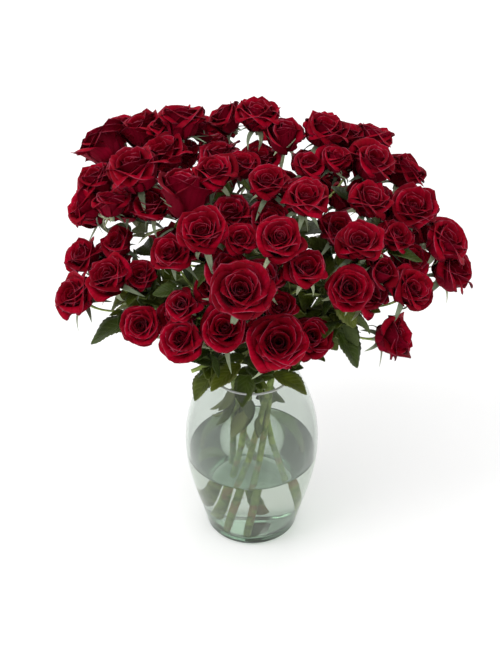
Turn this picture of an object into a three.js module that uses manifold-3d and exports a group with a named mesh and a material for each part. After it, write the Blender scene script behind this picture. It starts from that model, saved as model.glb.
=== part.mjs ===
// A clear glass ginger-jar vase, half full of water, holding twelve stems of red spray roses.
//
// Millimetres, +Z up. The origin is the centre of the vase's flat foot. The front of the bouquet
// faces -Y. Each stem is one grown piece: cane, forks, side branches and leaves. Every rose head is a
// piece of its own, seated on the end of its branch.

import * as THREE from "three";
import { mergeVertices } from "three/addons/utils/BufferGeometryUtils.js";
import Module from "manifold-3d";

const wasm = await Module();
wasm.setup();

// ---- Driving dimensions -------------------------------------------------------------------------

const GAP = 0.3; // clearance between pieces that touch
const SLIVER = 0.05; // faces thinner than this are cleaned away where bars join

const VASE_HEIGHT = 206;
const BELLY_HEIGHT = 112; // where the vase is widest
const BELLY_RADIUS = 70.5;
const MOUTH_RADIUS = 43.5;
const FOOT_RADIUS = 49;
const FOOT_CORNER = 5; // rounding between the flat foot and the wall
const WALL = 2.6;
const FLOOR = 9; // thick glass under the water
const FLOOR_CORNER = 6; // rounding inside, between floor and wall
const WATER_LEVEL = 99;

const CANE_RADIUS = 2.8; // main stem
const KNOT_RADIUS = 3.6; // swelling where the cane forks
const BRANCH_RADIUS = 1.3; // side stem under each rose
const ROSE_DIAMETER = 46; // a middling head, which sets how far the bouquet spreads
const STALK_RADIUS = 1; // leaf stalk
const STUB_RADIUS = 2.4; // side shoot that was cut off short
const LEAF_THICKNESS = 0.9;
const LEAF_WIDTH_SHARE = 0.58; // a leaf's width as a share of its length
const LEAF_WIDEST = 0.35; // how far along it is widest

// ---- Values that follow from them ---------------------------------------------------------------

const SPREAD = ROSE_DIAMETER / 46; // the bouquet grows with its heads, so that they stay clear
const MOUTH_SCALE = MOUTH_RADIUS / 43.5; // stems keep their places across the mouth
const WAIST_HEIGHT = 0.72 * VASE_HEIGHT; // where the crossing stems come closest together
const MOUTH = new THREE.Vector3(0, 0, VASE_HEIGHT);
const HEART = new THREE.Vector3(0, 50, -90).multiplyScalar(SPREAD).add(MOUTH); // heads face away from it

// ---- Solid helpers ------------------------------------------------------------------------------

/** A closed geometry as a manifold solid. */
function solidOf(geometry) {
  const bare = geometry.index ? geometry.clone() : mergeVertices(geometry);
  for (const name of ["normal", "uv"]) bare.deleteAttribute(name);
  const merged = mergeVertices(bare, 1e-4);
  return new wasm.Manifold(
    new wasm.Mesh({
      numProp: 3,
      vertProperties: new Float32Array(merged.attributes.position.array),
      triVerts: new Uint32Array(merged.index.array),
    }),
  );
}

/** A manifold solid as a geometry. */
function geometryOf(solid) {
  const { vertProperties, triVerts } = solid.getMesh();
  return new THREE.BufferGeometry()
    .setAttribute("position", new THREE.BufferAttribute(vertProperties, 3))
    .setIndex(new THREE.BufferAttribute(triVerts, 1));
}

/** A solid without the slivers and tiny pockets that bars closing on each other leave. */
function cleaned(solid) {
  const parts = solid.simplify(SLIVER).decompose();
  return parts.reduce((whole, part) => (part.volume() > whole.volume() ? part : whole));
}

/** A many-sided round bar swept along a curve. */
function bar(curve, radius, steps, sides) {
  const section = new THREE.Shape(
    Array.from({ length: sides }, (_, i) => {
      const turn = (2 * Math.PI * i) / sides;
      return new THREE.Vector2(radius * Math.cos(turn), radius * Math.sin(turn));
    }),
  );
  return solidOf(
    new THREE.ExtrudeGeometry(section, { steps, extrudePath: curve, bevelEnabled: false }),
  );
}

/** A profile of (radius, height) points turned about +Z. */
function turned(points, segments) {
  const lathe = new THREE.LatheGeometry(points, segments);
  return lathe.rotateX(Math.PI / 2);
}

// ---- Vase and water -----------------------------------------------------------------------------

const VASE_SIDES = 32;
const WALL_RINGS = 15;
const FOOT_FLARE = 1.25; // how long the wall stays upright above the foot
const SHOULDER_FLARE = 1.1;

/** How far a rounded corner of the given size draws in at a height above its lower edge. */
function cornerInset(above, corner) {
  const left = 1 - Math.min(1, Math.max(0, above / corner));
  return corner * (1 - Math.sqrt(1 - left ** 2));
}

/** Outer radius of the vase's wall at a height, without the foot's rounding. */
function wallRadius(z) {
  if (z < BELLY_HEIGHT) {
    const swell = Math.sin((Math.PI * Math.max(z, 0)) / (2 * BELLY_HEIGHT)) ** FOOT_FLARE;
    return FOOT_RADIUS + (BELLY_RADIUS - FOOT_RADIUS) * swell;
  }
  const shoulder = ((z - BELLY_HEIGHT) / (VASE_HEIGHT - BELLY_HEIGHT)) ** SHOULDER_FLARE;
  return MOUTH_RADIUS + (BELLY_RADIUS - MOUTH_RADIUS) * Math.cos((Math.PI * shoulder) / 2);
}

/** Inner radius at a height: the wall set in along its slope, rounded into the floor. */
function boreRadius(z) {
  const slope = wallRadius(z + 0.5) - wallRadius(z - 0.5);
  return wallRadius(z) - WALL * Math.hypot(1, slope) - cornerInset(z - FLOOR, FLOOR_CORNER);
}

/** The heights of a wall's rings from low to high, closer together near the low end. */
function ringHeights(low) {
  const high = VASE_HEIGHT - WALL / 2;
  return Array.from({ length: WALL_RINGS }, (_, i) => low + (high - low) * (i / (WALL_RINGS - 1)) ** 1.4);
}

function vase() {
  const lip = new THREE.Vector2(MOUTH_RADIUS - WALL / 2, VASE_HEIGHT);
  const outline = [new THREE.Vector2(0, 0)];
  for (const z of ringHeights(0))
    outline.push(new THREE.Vector2(wallRadius(z) - cornerInset(z, FOOT_CORNER), z));
  outline.push(lip);
  for (const z of ringHeights(FLOOR).reverse()) outline.push(new THREE.Vector2(boreRadius(z), z));
  outline.push(new THREE.Vector2(0, FLOOR));
  return turned(outline, VASE_SIDES);
}

/** The water fills the vase to its level, around whatever stands in it. */
function water(bores) {
  const outline = [new THREE.Vector2(0, FLOOR + GAP)];
  const wetted = ringHeights(FLOOR).filter((z) => z < WATER_LEVEL - WALL);
  for (const z of wetted) outline.push(new THREE.Vector2(boreRadius(z) - 2 * GAP, z + GAP));
  outline.push(new THREE.Vector2(boreRadius(WATER_LEVEL) - 2 * GAP, WATER_LEVEL));
  outline.push(new THREE.Vector2(0, WATER_LEVEL));
  return bores.reduce((left, hole) => left.subtract(hole), solidOf(turned(outline, VASE_SIDES)));
}

// ---- Rose heads ---------------------------------------------------------------------------------

// Each stage's outline as (share of the radius, share of the height), from the hip to the heart.
const STAGES = {
  bud: { tall: 1.1, outline: [[0.16, 0], [0.26, 0.1], [0.78, 0.34], [0.88, 0.6], [0.52, 0.92]] },
  cup: { tall: 0.88, outline: [[0.13, 0], [0.2, 0.1], [0.74, 0.3], [1, 0.72], [0.66, 0.9]] },
  open: { tall: 0.76, outline: [[0.1, 0], [0.16, 0.14], [0.72, 0.32], [1, 0.62], [0.6, 0.94]] },
};
const HEAD_SIDES = 10;
const PETAL_LOBES = 5;
const LOBE_DEPTH = 0.06;
const SOLID_SHARE = 0.86; // the head's firm part; petal tips curl out past it
const HEART_RISE = 0.97; // the middle of the head sits a little below its rim petals' height

/** A rose head standing on the origin, along +Z. */
function head(stage, diameter) {
  const radius = (SOLID_SHARE * diameter) / 2;
  const height = STAGES[stage].tall * diameter;
  const outline = STAGES[stage].outline.map(
    ([across, up]) => new THREE.Vector2(across * radius, up * height),
  );
  const closed = [new THREE.Vector2(0, 0), ...outline, new THREE.Vector2(0, HEART_RISE * height)];
  const petals = turned(closed, HEAD_SIDES);
  const place = petals.attributes.position;
  for (let i = 0; i < place.count; i++) {
    const lobe = 1 + LOBE_DEPTH * Math.cos(PETAL_LOBES * Math.atan2(place.getY(i), place.getX(i)));
    place.setXY(i, place.getX(i) * lobe, place.getY(i) * lobe);
  }
  return petals;
}

// ---- The bouquet --------------------------------------------------------------------------------

// One entry for each stem. ring and bearing say where its cane crosses the mouth: the outer ring's
// stems lean further. Each rose gives its stage, its diameter, the place of its head's middle from the
// centre of the vase's mouth, and, where it doesn't face straight out of the bouquet, which way it looks.
const SPRAYS = [
  {
    name: "left_low_front", ring: "outer", bearing: 223,
    stub: [-61, -32, 20],
    leaves: [[[-36, -22, 14], [-58, -40, -12]], [[-116, -36, 86], [-158, -46, 64]]],
    roses: [
      { stage: "open", width: 40, at: [-105, -70, 105], face: [-0.2, -0.75, 0.62] },
      { stage: "cup", width: 38, at: [-65, -90, 105], face: [-0.45, -0.6, 0.65] },
      { stage: "open", width: 39, at: [-75, -60, 180] },
    ],
  },
  {
    name: "left", ring: "outer", bearing: 184,
    leaves: [[[-95, 22, 62], [-140, 36, 48]]],
    roses: [
      { stage: "cup", width: 35, at: [-165, 10, 130] },
      { stage: "open", width: 44, at: [-135, -40, 140] },
      { stage: "cup", width: 41, at: [-170, -30, 110] },
    ],
  },
  {
    name: "left_top", ring: "inner", bearing: 175,
    leaves: [[[-88, 30, 150], [-112, 2, 176]]],
    roses: [
      { stage: "cup", width: 46, at: [-110, 15, 220], face: [-0.25, 0, 0.97] },
      { stage: "cup", width: 33, at: [-150, 50, 190] },
      { stage: "cup", width: 30, at: [-135, 0, 195], face: [-0.15, 0.35, 0.93] },
      { stage: "cup", width: 33, at: [-160, 30, 175], face: [-0.9, -0.1, 0.4] },
      { stage: "bud", width: 43, at: [-65, -20, 215], face: [0, 0.3, 0.95] },
    ],
  },
  {
    name: "left_top_back", ring: "outer", bearing: 144,
    leaves: [[[-105, 78, 120], [-150, 95, 108]]],
    roses: [
      { stage: "cup", width: 44, at: [-145, 90, 205], face: [-0.6, 0.5, 0.62] },
      { stage: "cup", width: 38, at: [-110, 105, 215] },
      { stage: "cup", width: 39, at: [-70, 75, 240], face: [-0.1, 0.35, 0.93] },
      { stage: "open", width: 46, at: [-85, 45, 220] },
    ],
  },
  {
    name: "crown_left", ring: "inner", bearing: 100,
    leaves: [[[0, 100, 150], [-12, 128, 170]]],
    roses: [
      { stage: "open", width: 43, at: [-35, 0, 230], face: [-0.1, -0.12, 0.98] },
      { stage: "open", width: 45, at: [5, 75, 250] },
      { stage: "cup", width: 35, at: [-25, 95, 235], face: [-0.6, 0.2, 0.77] },
    ],
  },
  {
    name: "crown_right", ring: "inner", bearing: 30,
    leaves: [[[62, 20, 150], [86, 6, 168]]],
    roses: [
      { stage: "bud", width: 33, at: [30, 60, 235] },
      { stage: "open", width: 47, at: [70, 70, 235] },
      { stage: "open", width: 41, at: [15, -10, 225], face: [-0.08, -0.15, 0.98] },
      { stage: "open", width: 46, at: [50, -30, 220], face: [0.1, -0.16, 0.98] },
    ],
  },
  {
    name: "right_top", ring: "outer", bearing: 35,
    leaves: [[[120, 90, 130], [162, 112, 118]]],
    roses: [
      { stage: "cup", width: 34, at: [120, 95, 210], face: [0.3, 0.3, 0.9] },
      { stage: "cup", width: 39, at: [115, 50, 210] },
      { stage: "cup", width: 36, at: [150, 75, 185] },
    ],
  },
  {
    name: "right", ring: "outer", bearing: 3,
    leaves: [[[125, 28, 108], [166, 45, 92]]],
    roses: [
      { stage: "open", width: 42, at: [110, 5, 195] },
      { stage: "open", width: 48, at: [155, 15, 180], face: [0.12, -0.28, 0.95] },
      { stage: "cup", width: 41, at: [185, 5, 150] },
      { stage: "cup", width: 41, at: [195, 5, 115] },
    ],
  },
  {
    name: "right_front", ring: "outer", bearing: 333,
    leaves: [[[75, -52, 88], [103, -60, 46]], [[130, -28, 162], [163, -28, 150]]],
    roses: [
      { stage: "open", width: 45, at: [100, -50, 185], face: [-0.1, -0.3, 0.94] },
      { stage: "open", width: 45, at: [90, -80, 155], face: [0.12, -0.72, 0.68] },
      { stage: "bud", width: 28, at: [120, -55, 155] },
      { stage: "open", width: 45, at: [150, -55, 135] },
      { stage: "cup", width: 43, at: [135, -60, 85], face: [0.75, -0.25, 0.3] },
    ],
  },
  {
    name: "front", ring: "inner", bearing: 270,
    leaves: [[[-12, -62, 52], [-40, -84, 36]]],
    roses: [
      { stage: "open", width: 48, at: [-45, -65, 205] },
      { stage: "open", width: 58, at: [-10, -115, 175] },
      { stage: "open", width: 44, at: [25, -75, 205] },
      { stage: "open", width: 39, at: [50, -80, 175], face: [0.05, -0.35, 0.93] },
    ],
  },
  {
    name: "front_low", ring: "outer", bearing: 283,
    leaves: [[[18, -34, 20], [55, -52, 6]]],
    roses: [
      { stage: "open", width: 47, at: [-25, -90, 115] },
      { stage: "open", width: 56, at: [25, -105, 110] },
      { stage: "cup", width: 38, at: [55, -75, 95] },
    ],
  },
  {
    name: "back", ring: "outer", bearing: 90,
    leaves: [[[-50, 110, 90], [-82, 146, 74]], [[50, 110, 90], [86, 146, 78]]],
    roses: [
      { stage: "open", width: 46, at: [-105, 145, 165] },
      { stage: "open", width: 48, at: [-40, 150, 190] },
      { stage: "open", width: 46, at: [35, 150, 185] },
      { stage: "cup", width: 46, at: [105, 140, 170] },
      { stage: "open", width: 50, at: [0, 165, 135] },
    ],
  },
];

// Both rings of canes lean the same way round, as in a hand-tied spiral, so no two of them meet.
const FOOT_RING = boreRadius(FLOOR + GAP) - CANE_RADIUS - 2 * GAP; // as wide as the floor lets them stand
const RINGS = {
  outer: { waist: 19 * MOUTH_SCALE, foot: FOOT_RING },
  inner: { waist: 8 * MOUTH_SCALE, foot: 0.6 * FOOT_RING },
};
const CANE_STEPS = 13;
const CANE_SIDES = 7;
const BRANCH_STEPS = 6;
const BRANCH_SIDES = 5;
const STALK_STEPS = 4;
const STALK_SIDES = 4;
const FORK_REACH = 0.45; // how far out a cane goes before it forks, as a share of the way to its roses
const FORK_LIFT = 20; // and how much higher than that way it forks
const SET_OFF = 0.3; // how long a side branch keeps its cane's heading, as a share of its reach
const ARRIVE = 0.4; // and how early it lines up with the flower or leaf it carries

/** A place given from the mouth's centre, in the part's own frame. */
function inBouquet(place) {
  return new THREE.Vector3(...place).multiplyScalar(SPREAD).add(MOUTH);
}

/** A rose's width and the point and direction in which its branch meets it. */
function seatOf(rose) {
  const middle = inBouquet(rose.at);
  const axis = (rose.face ? new THREE.Vector3(...rose.face) : middle.clone().sub(HEART)).normalize();
  const width = rose.width * SPREAD;
  const base = middle.clone().addScaledVector(axis, -0.5 * STAGES[rose.stage].tall * width);
  return { axis, base, width };
}

/** The cane's line: straight from the foot through the mouth, then out to the fork. */
function cane(spray, seats) {
  const ring = RINGS[spray.ring];
  const lowest = FLOOR + GAP + CANE_RADIUS / 3; // the slanting cut just clears the floor
  const lean = Math.sqrt(ring.foot ** 2 - ring.waist ** 2) / (WAIST_HEIGHT - lowest);
  const atMouth = Math.atan2(lean * (VASE_HEIGHT - WAIST_HEIGHT), ring.waist);
  const onRing = (z) => {
    const along = lean * (z - WAIST_HEIGHT);
    const turn = THREE.MathUtils.degToRad(spray.bearing) - atMouth;
    const [c, s] = [Math.cos(turn), Math.sin(turn)];
    return new THREE.Vector3(ring.waist * c - along * s, ring.waist * s + along * c, z);
  };
  const middle = seats.reduce((sum, { base }) => sum.add(base), new THREE.Vector3());
  middle.divideScalar(seats.length);
  const fork = MOUTH.clone().lerp(middle, FORK_REACH);
  fork.z += FORK_LIFT * SPREAD;
  return new THREE.CatmullRomCurve3([
    onRing(lowest), onRing(WATER_LEVEL), onRing(WAIST_HEIGHT), onRing(VASE_HEIGHT), fork,
  ]);
}

/** The side stem from the cane's fork to a rose's hip. */
function branch(fork, heading, { axis, base }) {
  const reach = fork.distanceTo(base);
  return new THREE.CubicBezierCurve3(
    fork,
    fork.clone().addScaledVector(heading, SET_OFF * reach),
    base.clone().addScaledVector(axis, -ARRIVE * reach),
    base.clone().addScaledVector(axis, -GAP),
  );
}

/** A flat leaf blade from its root to its tip. */
function blade(root, tip) {
  const length = root.distanceTo(tip);
  const bow = LEAF_WIDTH_SHARE * length; // a quadratic curve reaches half as far as its bow
  const widest = LEAF_WIDEST * length;
  const outline = new THREE.Shape();
  outline.moveTo(-STALK_RADIUS, 0);
  outline.quadraticCurveTo(widest, -bow, length, 0);
  outline.quadraticCurveTo(widest, bow, -STALK_RADIUS, 0);
  const plate = new THREE.ExtrudeGeometry(outline, {
    depth: LEAF_THICKNESS, bevelEnabled: false, curveSegments: 5,
  });
  const along = tip.clone().sub(root).normalize();
  const across = new THREE.Vector3(0, 0, 1).cross(along).normalize();
  const up = along.clone().cross(across);
  plate.translate(0, 0, -LEAF_THICKNESS / 2);
  plate.applyMatrix4(new THREE.Matrix4().makeBasis(along, across, up).setPosition(root));
  return solidOf(plate);
}

/** The point on a line that lies nearest to a place, and the way the line runs there. */
function nearest(line, place) {
  const shares = Array.from({ length: 41 }, (_, i) => i / 40);
  const far = (share) => line.getPoint(share).distanceTo(place);
  const share = shares.reduce((best, next) => (far(next) < far(best) ? next : best));
  return { from: line.getPoint(share), heading: line.getTangent(share) };
}

/** A leaf with the stalk that carries it, sprung from the cane. */
function leaf(line, { root, tip }) {
  const { from, heading } = nearest(line, root);
  const reach = from.distanceTo(root);
  const along = tip.clone().sub(root).normalize();
  const stalk = new THREE.CubicBezierCurve3(
    from,
    from.clone().addScaledVector(heading, SET_OFF * reach),
    root.clone().addScaledVector(along, -ARRIVE * reach),
    root.clone().addScaledVector(along, 3 * STALK_RADIUS),
  );
  return bar(stalk, STALK_RADIUS, STALK_STEPS, STALK_SIDES).add(blade(root, tip));
}

/** What is left of a side shoot that was cut off short. */
function stub(line, end) {
  const { from } = nearest(line, end);
  return bar(new THREE.LineCurve3(from, end), STUB_RADIUS, 1, CANE_SIDES);
}

/** Everything that grew in one with a cane. */
function stem(spray, seats) {
  const line = cane(spray, seats);
  const fork = line.getPoint(1);
  const heading = line.getTangent(1);
  const knot = new THREE.IcosahedronGeometry(KNOT_RADIUS, 1).translate(fork.x, fork.y, fork.z);
  let grown = bar(line, CANE_RADIUS, CANE_STEPS, CANE_SIDES).add(solidOf(knot));
  for (const seat of seats) {
    const side = branch(fork, heading, seat);
    grown = grown.add(bar(side, BRANCH_RADIUS, BRANCH_STEPS, BRANCH_SIDES));
  }
  for (const [root, tip] of spray.leaves)
    grown = grown.add(leaf(line, { root: inBouquet(root), tip: inBouquet(tip) }));
  if (spray.stub) grown = grown.add(stub(line, inBouquet(spray.stub)));
  return cleaned(grown);
}

/** The room that a cane takes up in the water. */
function bore(spray, seats) {
  return bar(cane(spray, seats), CANE_RADIUS + GAP, CANE_STEPS, CANE_SIDES);
}

// ---- Assembly -----------------------------------------------------------------------------------

const clearGlass = new THREE.MeshStandardMaterial({
  color: 0xdfeee8, roughness: 0.03, metalness: 0, transparent: true, opacity: 0.35,
});
const clearWater = new THREE.MeshStandardMaterial({
  color: 0xd3e4dc, roughness: 0.02, metalness: 0, transparent: true, opacity: 0.5,
});
const greenStem = new THREE.MeshStandardMaterial({ color: 0x4f6526, roughness: 0.6, metalness: 0 });
const redPetal = new THREE.MeshStandardMaterial({ color: 0x9c0420, roughness: 0.7, metalness: 0 });

const bouquet = new THREE.Group();

function place(name, geometry, material) {
  const mesh = new THREE.Mesh(geometry, material);
  mesh.name = name;
  bouquet.add(mesh);
  return mesh;
}

place("vase", vase(), clearGlass);

const bores = [];
for (const spray of SPRAYS) {
  const seats = spray.roses.map(seatOf);
  place(`stem_${spray.name}`, geometryOf(stem(spray, seats)), greenStem);
  bores.push(bore(spray, seats));
  seats.forEach(({ axis, base, width }, i) => {
    const letter = "abcde"[i];
    const rose = place(`rose_${spray.name}_${letter}`, head(spray.roses[i].stage, width), redPetal);
    rose.position.copy(base);
    rose.quaternion.setFromUnitVectors(new THREE.Vector3(0, 0, 1), axis);
  });
}

place("water", geometryOf(water(bores)), clearWater);

export default bouquet;
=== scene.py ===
"""Finishes a glass ginger-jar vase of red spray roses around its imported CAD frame.

The frame says where everything is: the vase's outline, the water's level, the line of each cane, the
leaves' places and each rose head's hip, axis and width. The classes below read those places and build
the petals, sepals, serrated leaves, thorny stems, blown glass and water that stand for them.

Everything is in metres, +Z up, with the front of the bouquet towards -Y.
"""

import itertools
import logging
import math
import zlib
from dataclasses import dataclass, field
from enum import Enum
from typing import Iterable

import bpy
import numpy as np
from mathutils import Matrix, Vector


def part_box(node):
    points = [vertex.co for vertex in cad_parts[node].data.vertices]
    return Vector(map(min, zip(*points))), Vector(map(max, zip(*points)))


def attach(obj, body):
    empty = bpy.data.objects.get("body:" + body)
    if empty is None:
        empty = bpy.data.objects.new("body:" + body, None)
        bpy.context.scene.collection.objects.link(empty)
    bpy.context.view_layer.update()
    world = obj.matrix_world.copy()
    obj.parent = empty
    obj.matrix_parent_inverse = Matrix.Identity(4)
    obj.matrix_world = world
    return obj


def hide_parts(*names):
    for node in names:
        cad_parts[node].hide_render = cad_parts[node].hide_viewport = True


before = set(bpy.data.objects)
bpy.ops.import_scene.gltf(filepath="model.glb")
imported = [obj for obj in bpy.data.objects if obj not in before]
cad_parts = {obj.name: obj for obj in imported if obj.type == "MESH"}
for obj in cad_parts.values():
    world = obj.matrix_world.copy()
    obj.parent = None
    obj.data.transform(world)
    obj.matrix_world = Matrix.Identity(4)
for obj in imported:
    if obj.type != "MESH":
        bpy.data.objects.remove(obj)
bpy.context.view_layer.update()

LOG = logging.getLogger("roses")
BODY = "root"
MM = 0.001
UP = np.array([0.0, 0.0, 1.0])
GOLDEN_ANGLE = math.radians(137.5)  # the turn from one petal to the next
CLOUD_EDGES = (0.3, 0.7)  # the part of a noise's range that its clouds are made of
GLASS_IOR = 1.5
WATER_IOR = 1.333

Colour = tuple[float, float, float]
Place = tuple[float, float, float]
Span = tuple[float, float]
Values = dict[str, np.ndarray]


# ---- Small geometry ------------------------------------------------------------------------------


def unit(vector: np.ndarray) -> np.ndarray:
    """The vector, or each of an array of vectors, at length one."""
    length = np.linalg.norm(vector, axis=-1, keepdims=True)
    return vector / np.maximum(length, 1e-12)


def smooth(x: np.ndarray) -> np.ndarray:
    """An S-shaped ramp from 0 at x = 0 to 1 at x = 1."""
    x = np.clip(x, 0.0, 1.0)
    return x * x * (3 - 2 * x)


def axes_along(axis: np.ndarray, hint: np.ndarray = UP) -> np.ndarray:
    """Three unit axes as rows, the last one along the given direction.

    Args:
        axis: the direction that the third axis takes.
        hint: a direction that the first axis keeps away from.

    Returns:
        A 3 by 3 array whose rows are the axes.
    """
    third = unit(axis)
    if abs(third @ unit(hint)) > 0.98:
        hint = np.array([1.0, 0.0, 0.0])
    first = unit(np.cross(hint, third))
    return np.array([first, np.cross(third, first), third])


def bezier(a: np.ndarray, b: np.ndarray, c: np.ndarray, d: np.ndarray, t: np.ndarray) -> np.ndarray:
    """Points of the cubic curve from a to d with handles b and c, at the shares t."""
    t = np.asarray(t)[..., None]
    return (1 - t) ** 3 * a + 3 * (1 - t) ** 2 * t * b + 3 * (1 - t) * t**2 * c + t**3 * d


def straight(a: np.ndarray, b: np.ndarray, count: int) -> np.ndarray:
    """Evenly spaced points from one place to another."""
    return a + (b - a) * np.linspace(0, 1, count)[:, None]


def rounded_line(points: np.ndarray, per_span: int) -> np.ndarray:
    """A smooth line through the points, with no overshoot between unequal spans.

    Args:
        points: the points that it passes through, in order.
        per_span: how many steps it takes between two of them.

    Returns:
        The points of the line, the first and the last of the given ones included.
    """
    ends = np.vstack([2 * points[0] - points[1], points, 2 * points[-1] - points[-2]])
    knots = np.concatenate([[0.0], np.cumsum(np.linalg.norm(np.diff(ends, axis=0), axis=1) ** 0.5)])
    line = [points[:1]]
    for i in range(1, len(ends) - 2):
        k0, k1, k2, k3 = knots[i - 1 : i + 3]
        t = np.linspace(k1, k2, per_span + 1)[1:, None]
        p0, p1, p2, p3 = ends[i - 1 : i + 3]
        a1 = (k1 - t) / (k1 - k0) * p0 + (t - k0) / (k1 - k0) * p1
        a2 = (k2 - t) / (k2 - k1) * p1 + (t - k1) / (k2 - k1) * p2
        a3 = (k3 - t) / (k3 - k2) * p2 + (t - k2) / (k3 - k2) * p3
        b1 = (k2 - t) / (k2 - k0) * a1 + (t - k0) / (k2 - k0) * a2
        b2 = (k3 - t) / (k3 - k1) * a2 + (t - k1) / (k3 - k1) * a3
        line.append((k2 - t) / (k2 - k1) * b1 + (t - k1) / (k2 - k1) * b2)
    return np.vstack(line)


def random_of(name: str) -> np.random.Generator:
    """Random numbers that are always the same for one name."""
    return np.random.default_rng(zlib.crc32(name.encode()))


@dataclass
class Skin:
    """Points and faces gathered for one mesh, with named values for each point."""

    points: list[np.ndarray] = field(default_factory=list)
    quads: list[np.ndarray] = field(default_factory=list)
    tris: list[np.ndarray] = field(default_factory=list)
    values: dict[str, list[np.ndarray]] = field(default_factory=dict)
    count: int = 0

    def add(self, points: np.ndarray, quads: np.ndarray, tris: np.ndarray, **values: object) -> None:
        """Adds a closed patch.

        Args:
            points: its points, one for each row.
            quads: its four-sided faces, as numbers of its own points.
            tris: its three-sided faces.
            **values: for each named value, a number or one number for each point.
        """
        self.points.append(points)
        self.quads.append(np.asarray(quads, int).reshape(-1, 4) + self.count)
        self.tris.append(np.asarray(tris, int).reshape(-1, 3) + self.count)
        for name, value in values.items():
            spread = np.broadcast_to(np.asarray(value, float), (len(points),))
            self.values.setdefault(name, []).append(spread)
        self.count += len(points)

    def mesh(self, name: str) -> bpy.types.Mesh:
        """The gathered faces as a smooth-shaded mesh."""
        quads, tris = np.vstack(self.quads), np.vstack(self.tris)
        corners = np.concatenate([quads.ravel(), tris.ravel()]).astype(np.int32)
        sizes = np.concatenate([np.full(len(quads), 4), np.full(len(tris), 3)])
        starts = np.concatenate([[0], np.cumsum(sizes)[:-1]]).astype(np.int32)
        mesh = bpy.data.meshes.new(name)
        mesh.vertices.add(self.count)
        mesh.vertices.foreach_set("co", np.vstack(self.points).astype(np.float32).ravel())
        mesh.loops.add(len(corners))
        mesh.loops.foreach_set("vertex_index", corners)
        mesh.polygons.add(len(sizes))
        mesh.polygons.foreach_set("loop_start", starts)
        mesh.update(calc_edges=True)
        mesh.shade_smooth()
        for value_name, parts in self.values.items():
            stored = mesh.attributes.new(value_name, "FLOAT", "POINT")
            stored.data.foreach_set("value", np.concatenate(parts).astype(np.float32))
        return mesh


def grid_faces(rows: int, columns: int, closed: bool = False) -> np.ndarray:
    """Quads of a grid whose points are numbered row by row.

    Args:
        rows: how many rows of points it has.
        columns: how many points each row has.
        closed: whether each row runs round in a ring.

    Returns:
        One quad for each row.
    """
    span = columns if closed else columns - 1
    i, j = np.meshgrid(np.arange(rows - 1), np.arange(span), indexing="ij")
    k = (j + 1) % columns
    low, high = i * columns, (i + 1) * columns
    return np.stack([low + j, low + k, high + k, high + j], -1).reshape(-1, 4)


def add_sheet(skin: Skin, sheet: np.ndarray, thickness: np.ndarray, **values: np.ndarray) -> None:
    """Adds a thin closed sheet, such as a petal or a leaf, that thins to nothing at its margin.

    Args:
        skin: the skin that it joins.
        sheet: its middle surface, as an array of rows by columns by 3.
        thickness: how thick it is at each point of the surface.
        **values: named values for each point of the surface. A value "under" is added, which is 0 on
            the face that the surface's normals point out of and 1 on the other.
    """
    rows, columns = sheet.shape[:2]
    normal = unit(np.cross(np.gradient(sheet, axis=0), np.gradient(sheet, axis=1)))
    half = np.array(thickness)[..., None] / 2
    inner = np.zeros((rows, columns), bool)
    inner[1:-1, 1:-1] = True
    upper = np.where(inner[..., None], sheet + normal * half, sheet).reshape(-1, 3)
    lower = (sheet - normal * half)[inner]
    renumber = np.arange(rows * columns).reshape(rows, columns)
    under_numbers = renumber.copy()
    under_numbers[inner] = rows * columns + np.arange(inner.sum())
    top = grid_faces(rows, columns)[:, ::-1]
    bottom = under_numbers.ravel()[top][:, ::-1]
    edge_value = np.where(inner, 0.0, 0.5).ravel()
    spread = {}
    for name, value in values.items():
        whole = np.broadcast_to(value, inner.shape)
        spread[name] = np.concatenate([whole.ravel(), whole[inner]])
    spread["under"] = np.concatenate([edge_value, np.ones(inner.sum())])
    skin.add(np.vstack([upper, lower]), np.vstack([top, bottom]), np.zeros((0, 3), int), **spread)


def add_rings(
    skin: Skin, rings: np.ndarray, start: np.ndarray, end: np.ndarray, **values: np.ndarray
) -> None:
    """Adds a closed body of rings of points, with a point at each end.

    Args:
        skin: the skin that it joins.
        rings: its points, as an array of rings by sides by 3.
        start: the point that closes the first ring.
        end: the point that closes the last ring.
        **values: named values for each of its points: ring by ring, then the start and the end.
    """
    count, sides = rings.shape[:2]
    pole, last = count * sides, (count - 1) * sides
    j = np.arange(sides)
    k = (j + 1) % sides
    first_cap = np.stack([np.full(sides, pole), k, j], -1)
    last_cap = np.stack([np.full(sides, pole + 1), last + j, last + k], -1)
    points = np.vstack([rings.reshape(-1, 3), start, end])
    skin.add(points, grid_faces(count, sides, closed=True), np.vstack([first_cap, last_cap]), **values)


def turns(sides: int) -> np.ndarray:
    """The angles of the points of a ring."""
    return np.linspace(0, 2 * math.pi, sides, endpoint=False)


def add_tube(skin: Skin, line: np.ndarray, radii: np.ndarray | float, sides: int, **values: object) -> None:
    """Adds a closed round tube along a line.

    Args:
        skin: the skin that it joins.
        line: the points of its middle line.
        radii: its radius, or its radius at each of them.
        sides: how many sides it has round.
        **values: named values, each one number or one for each point of the line.
    """
    cosine, sine = np.cos(turns(sides))[:, None], np.sin(turns(sides))[:, None]
    tangent = unit(np.gradient(line, axis=0))
    first = axes_along(tangent[0])[0]
    rings = []
    for middle, direction, radius in zip(line, tangent, np.broadcast_to(radii, len(line))):
        first = unit(first - (first @ direction) * direction)
        rings.append(middle + (cosine * first + sine * np.cross(direction, first)) * radius)
    spread = {}
    for name, value in values.items():
        whole = np.broadcast_to(np.asarray(value, float), (len(line),))
        spread[name] = np.concatenate([np.repeat(whole, sides), whole[:1], whole[-1:]])
    add_rings(skin, np.array(rings), line[0], line[-1], **spread)


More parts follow.
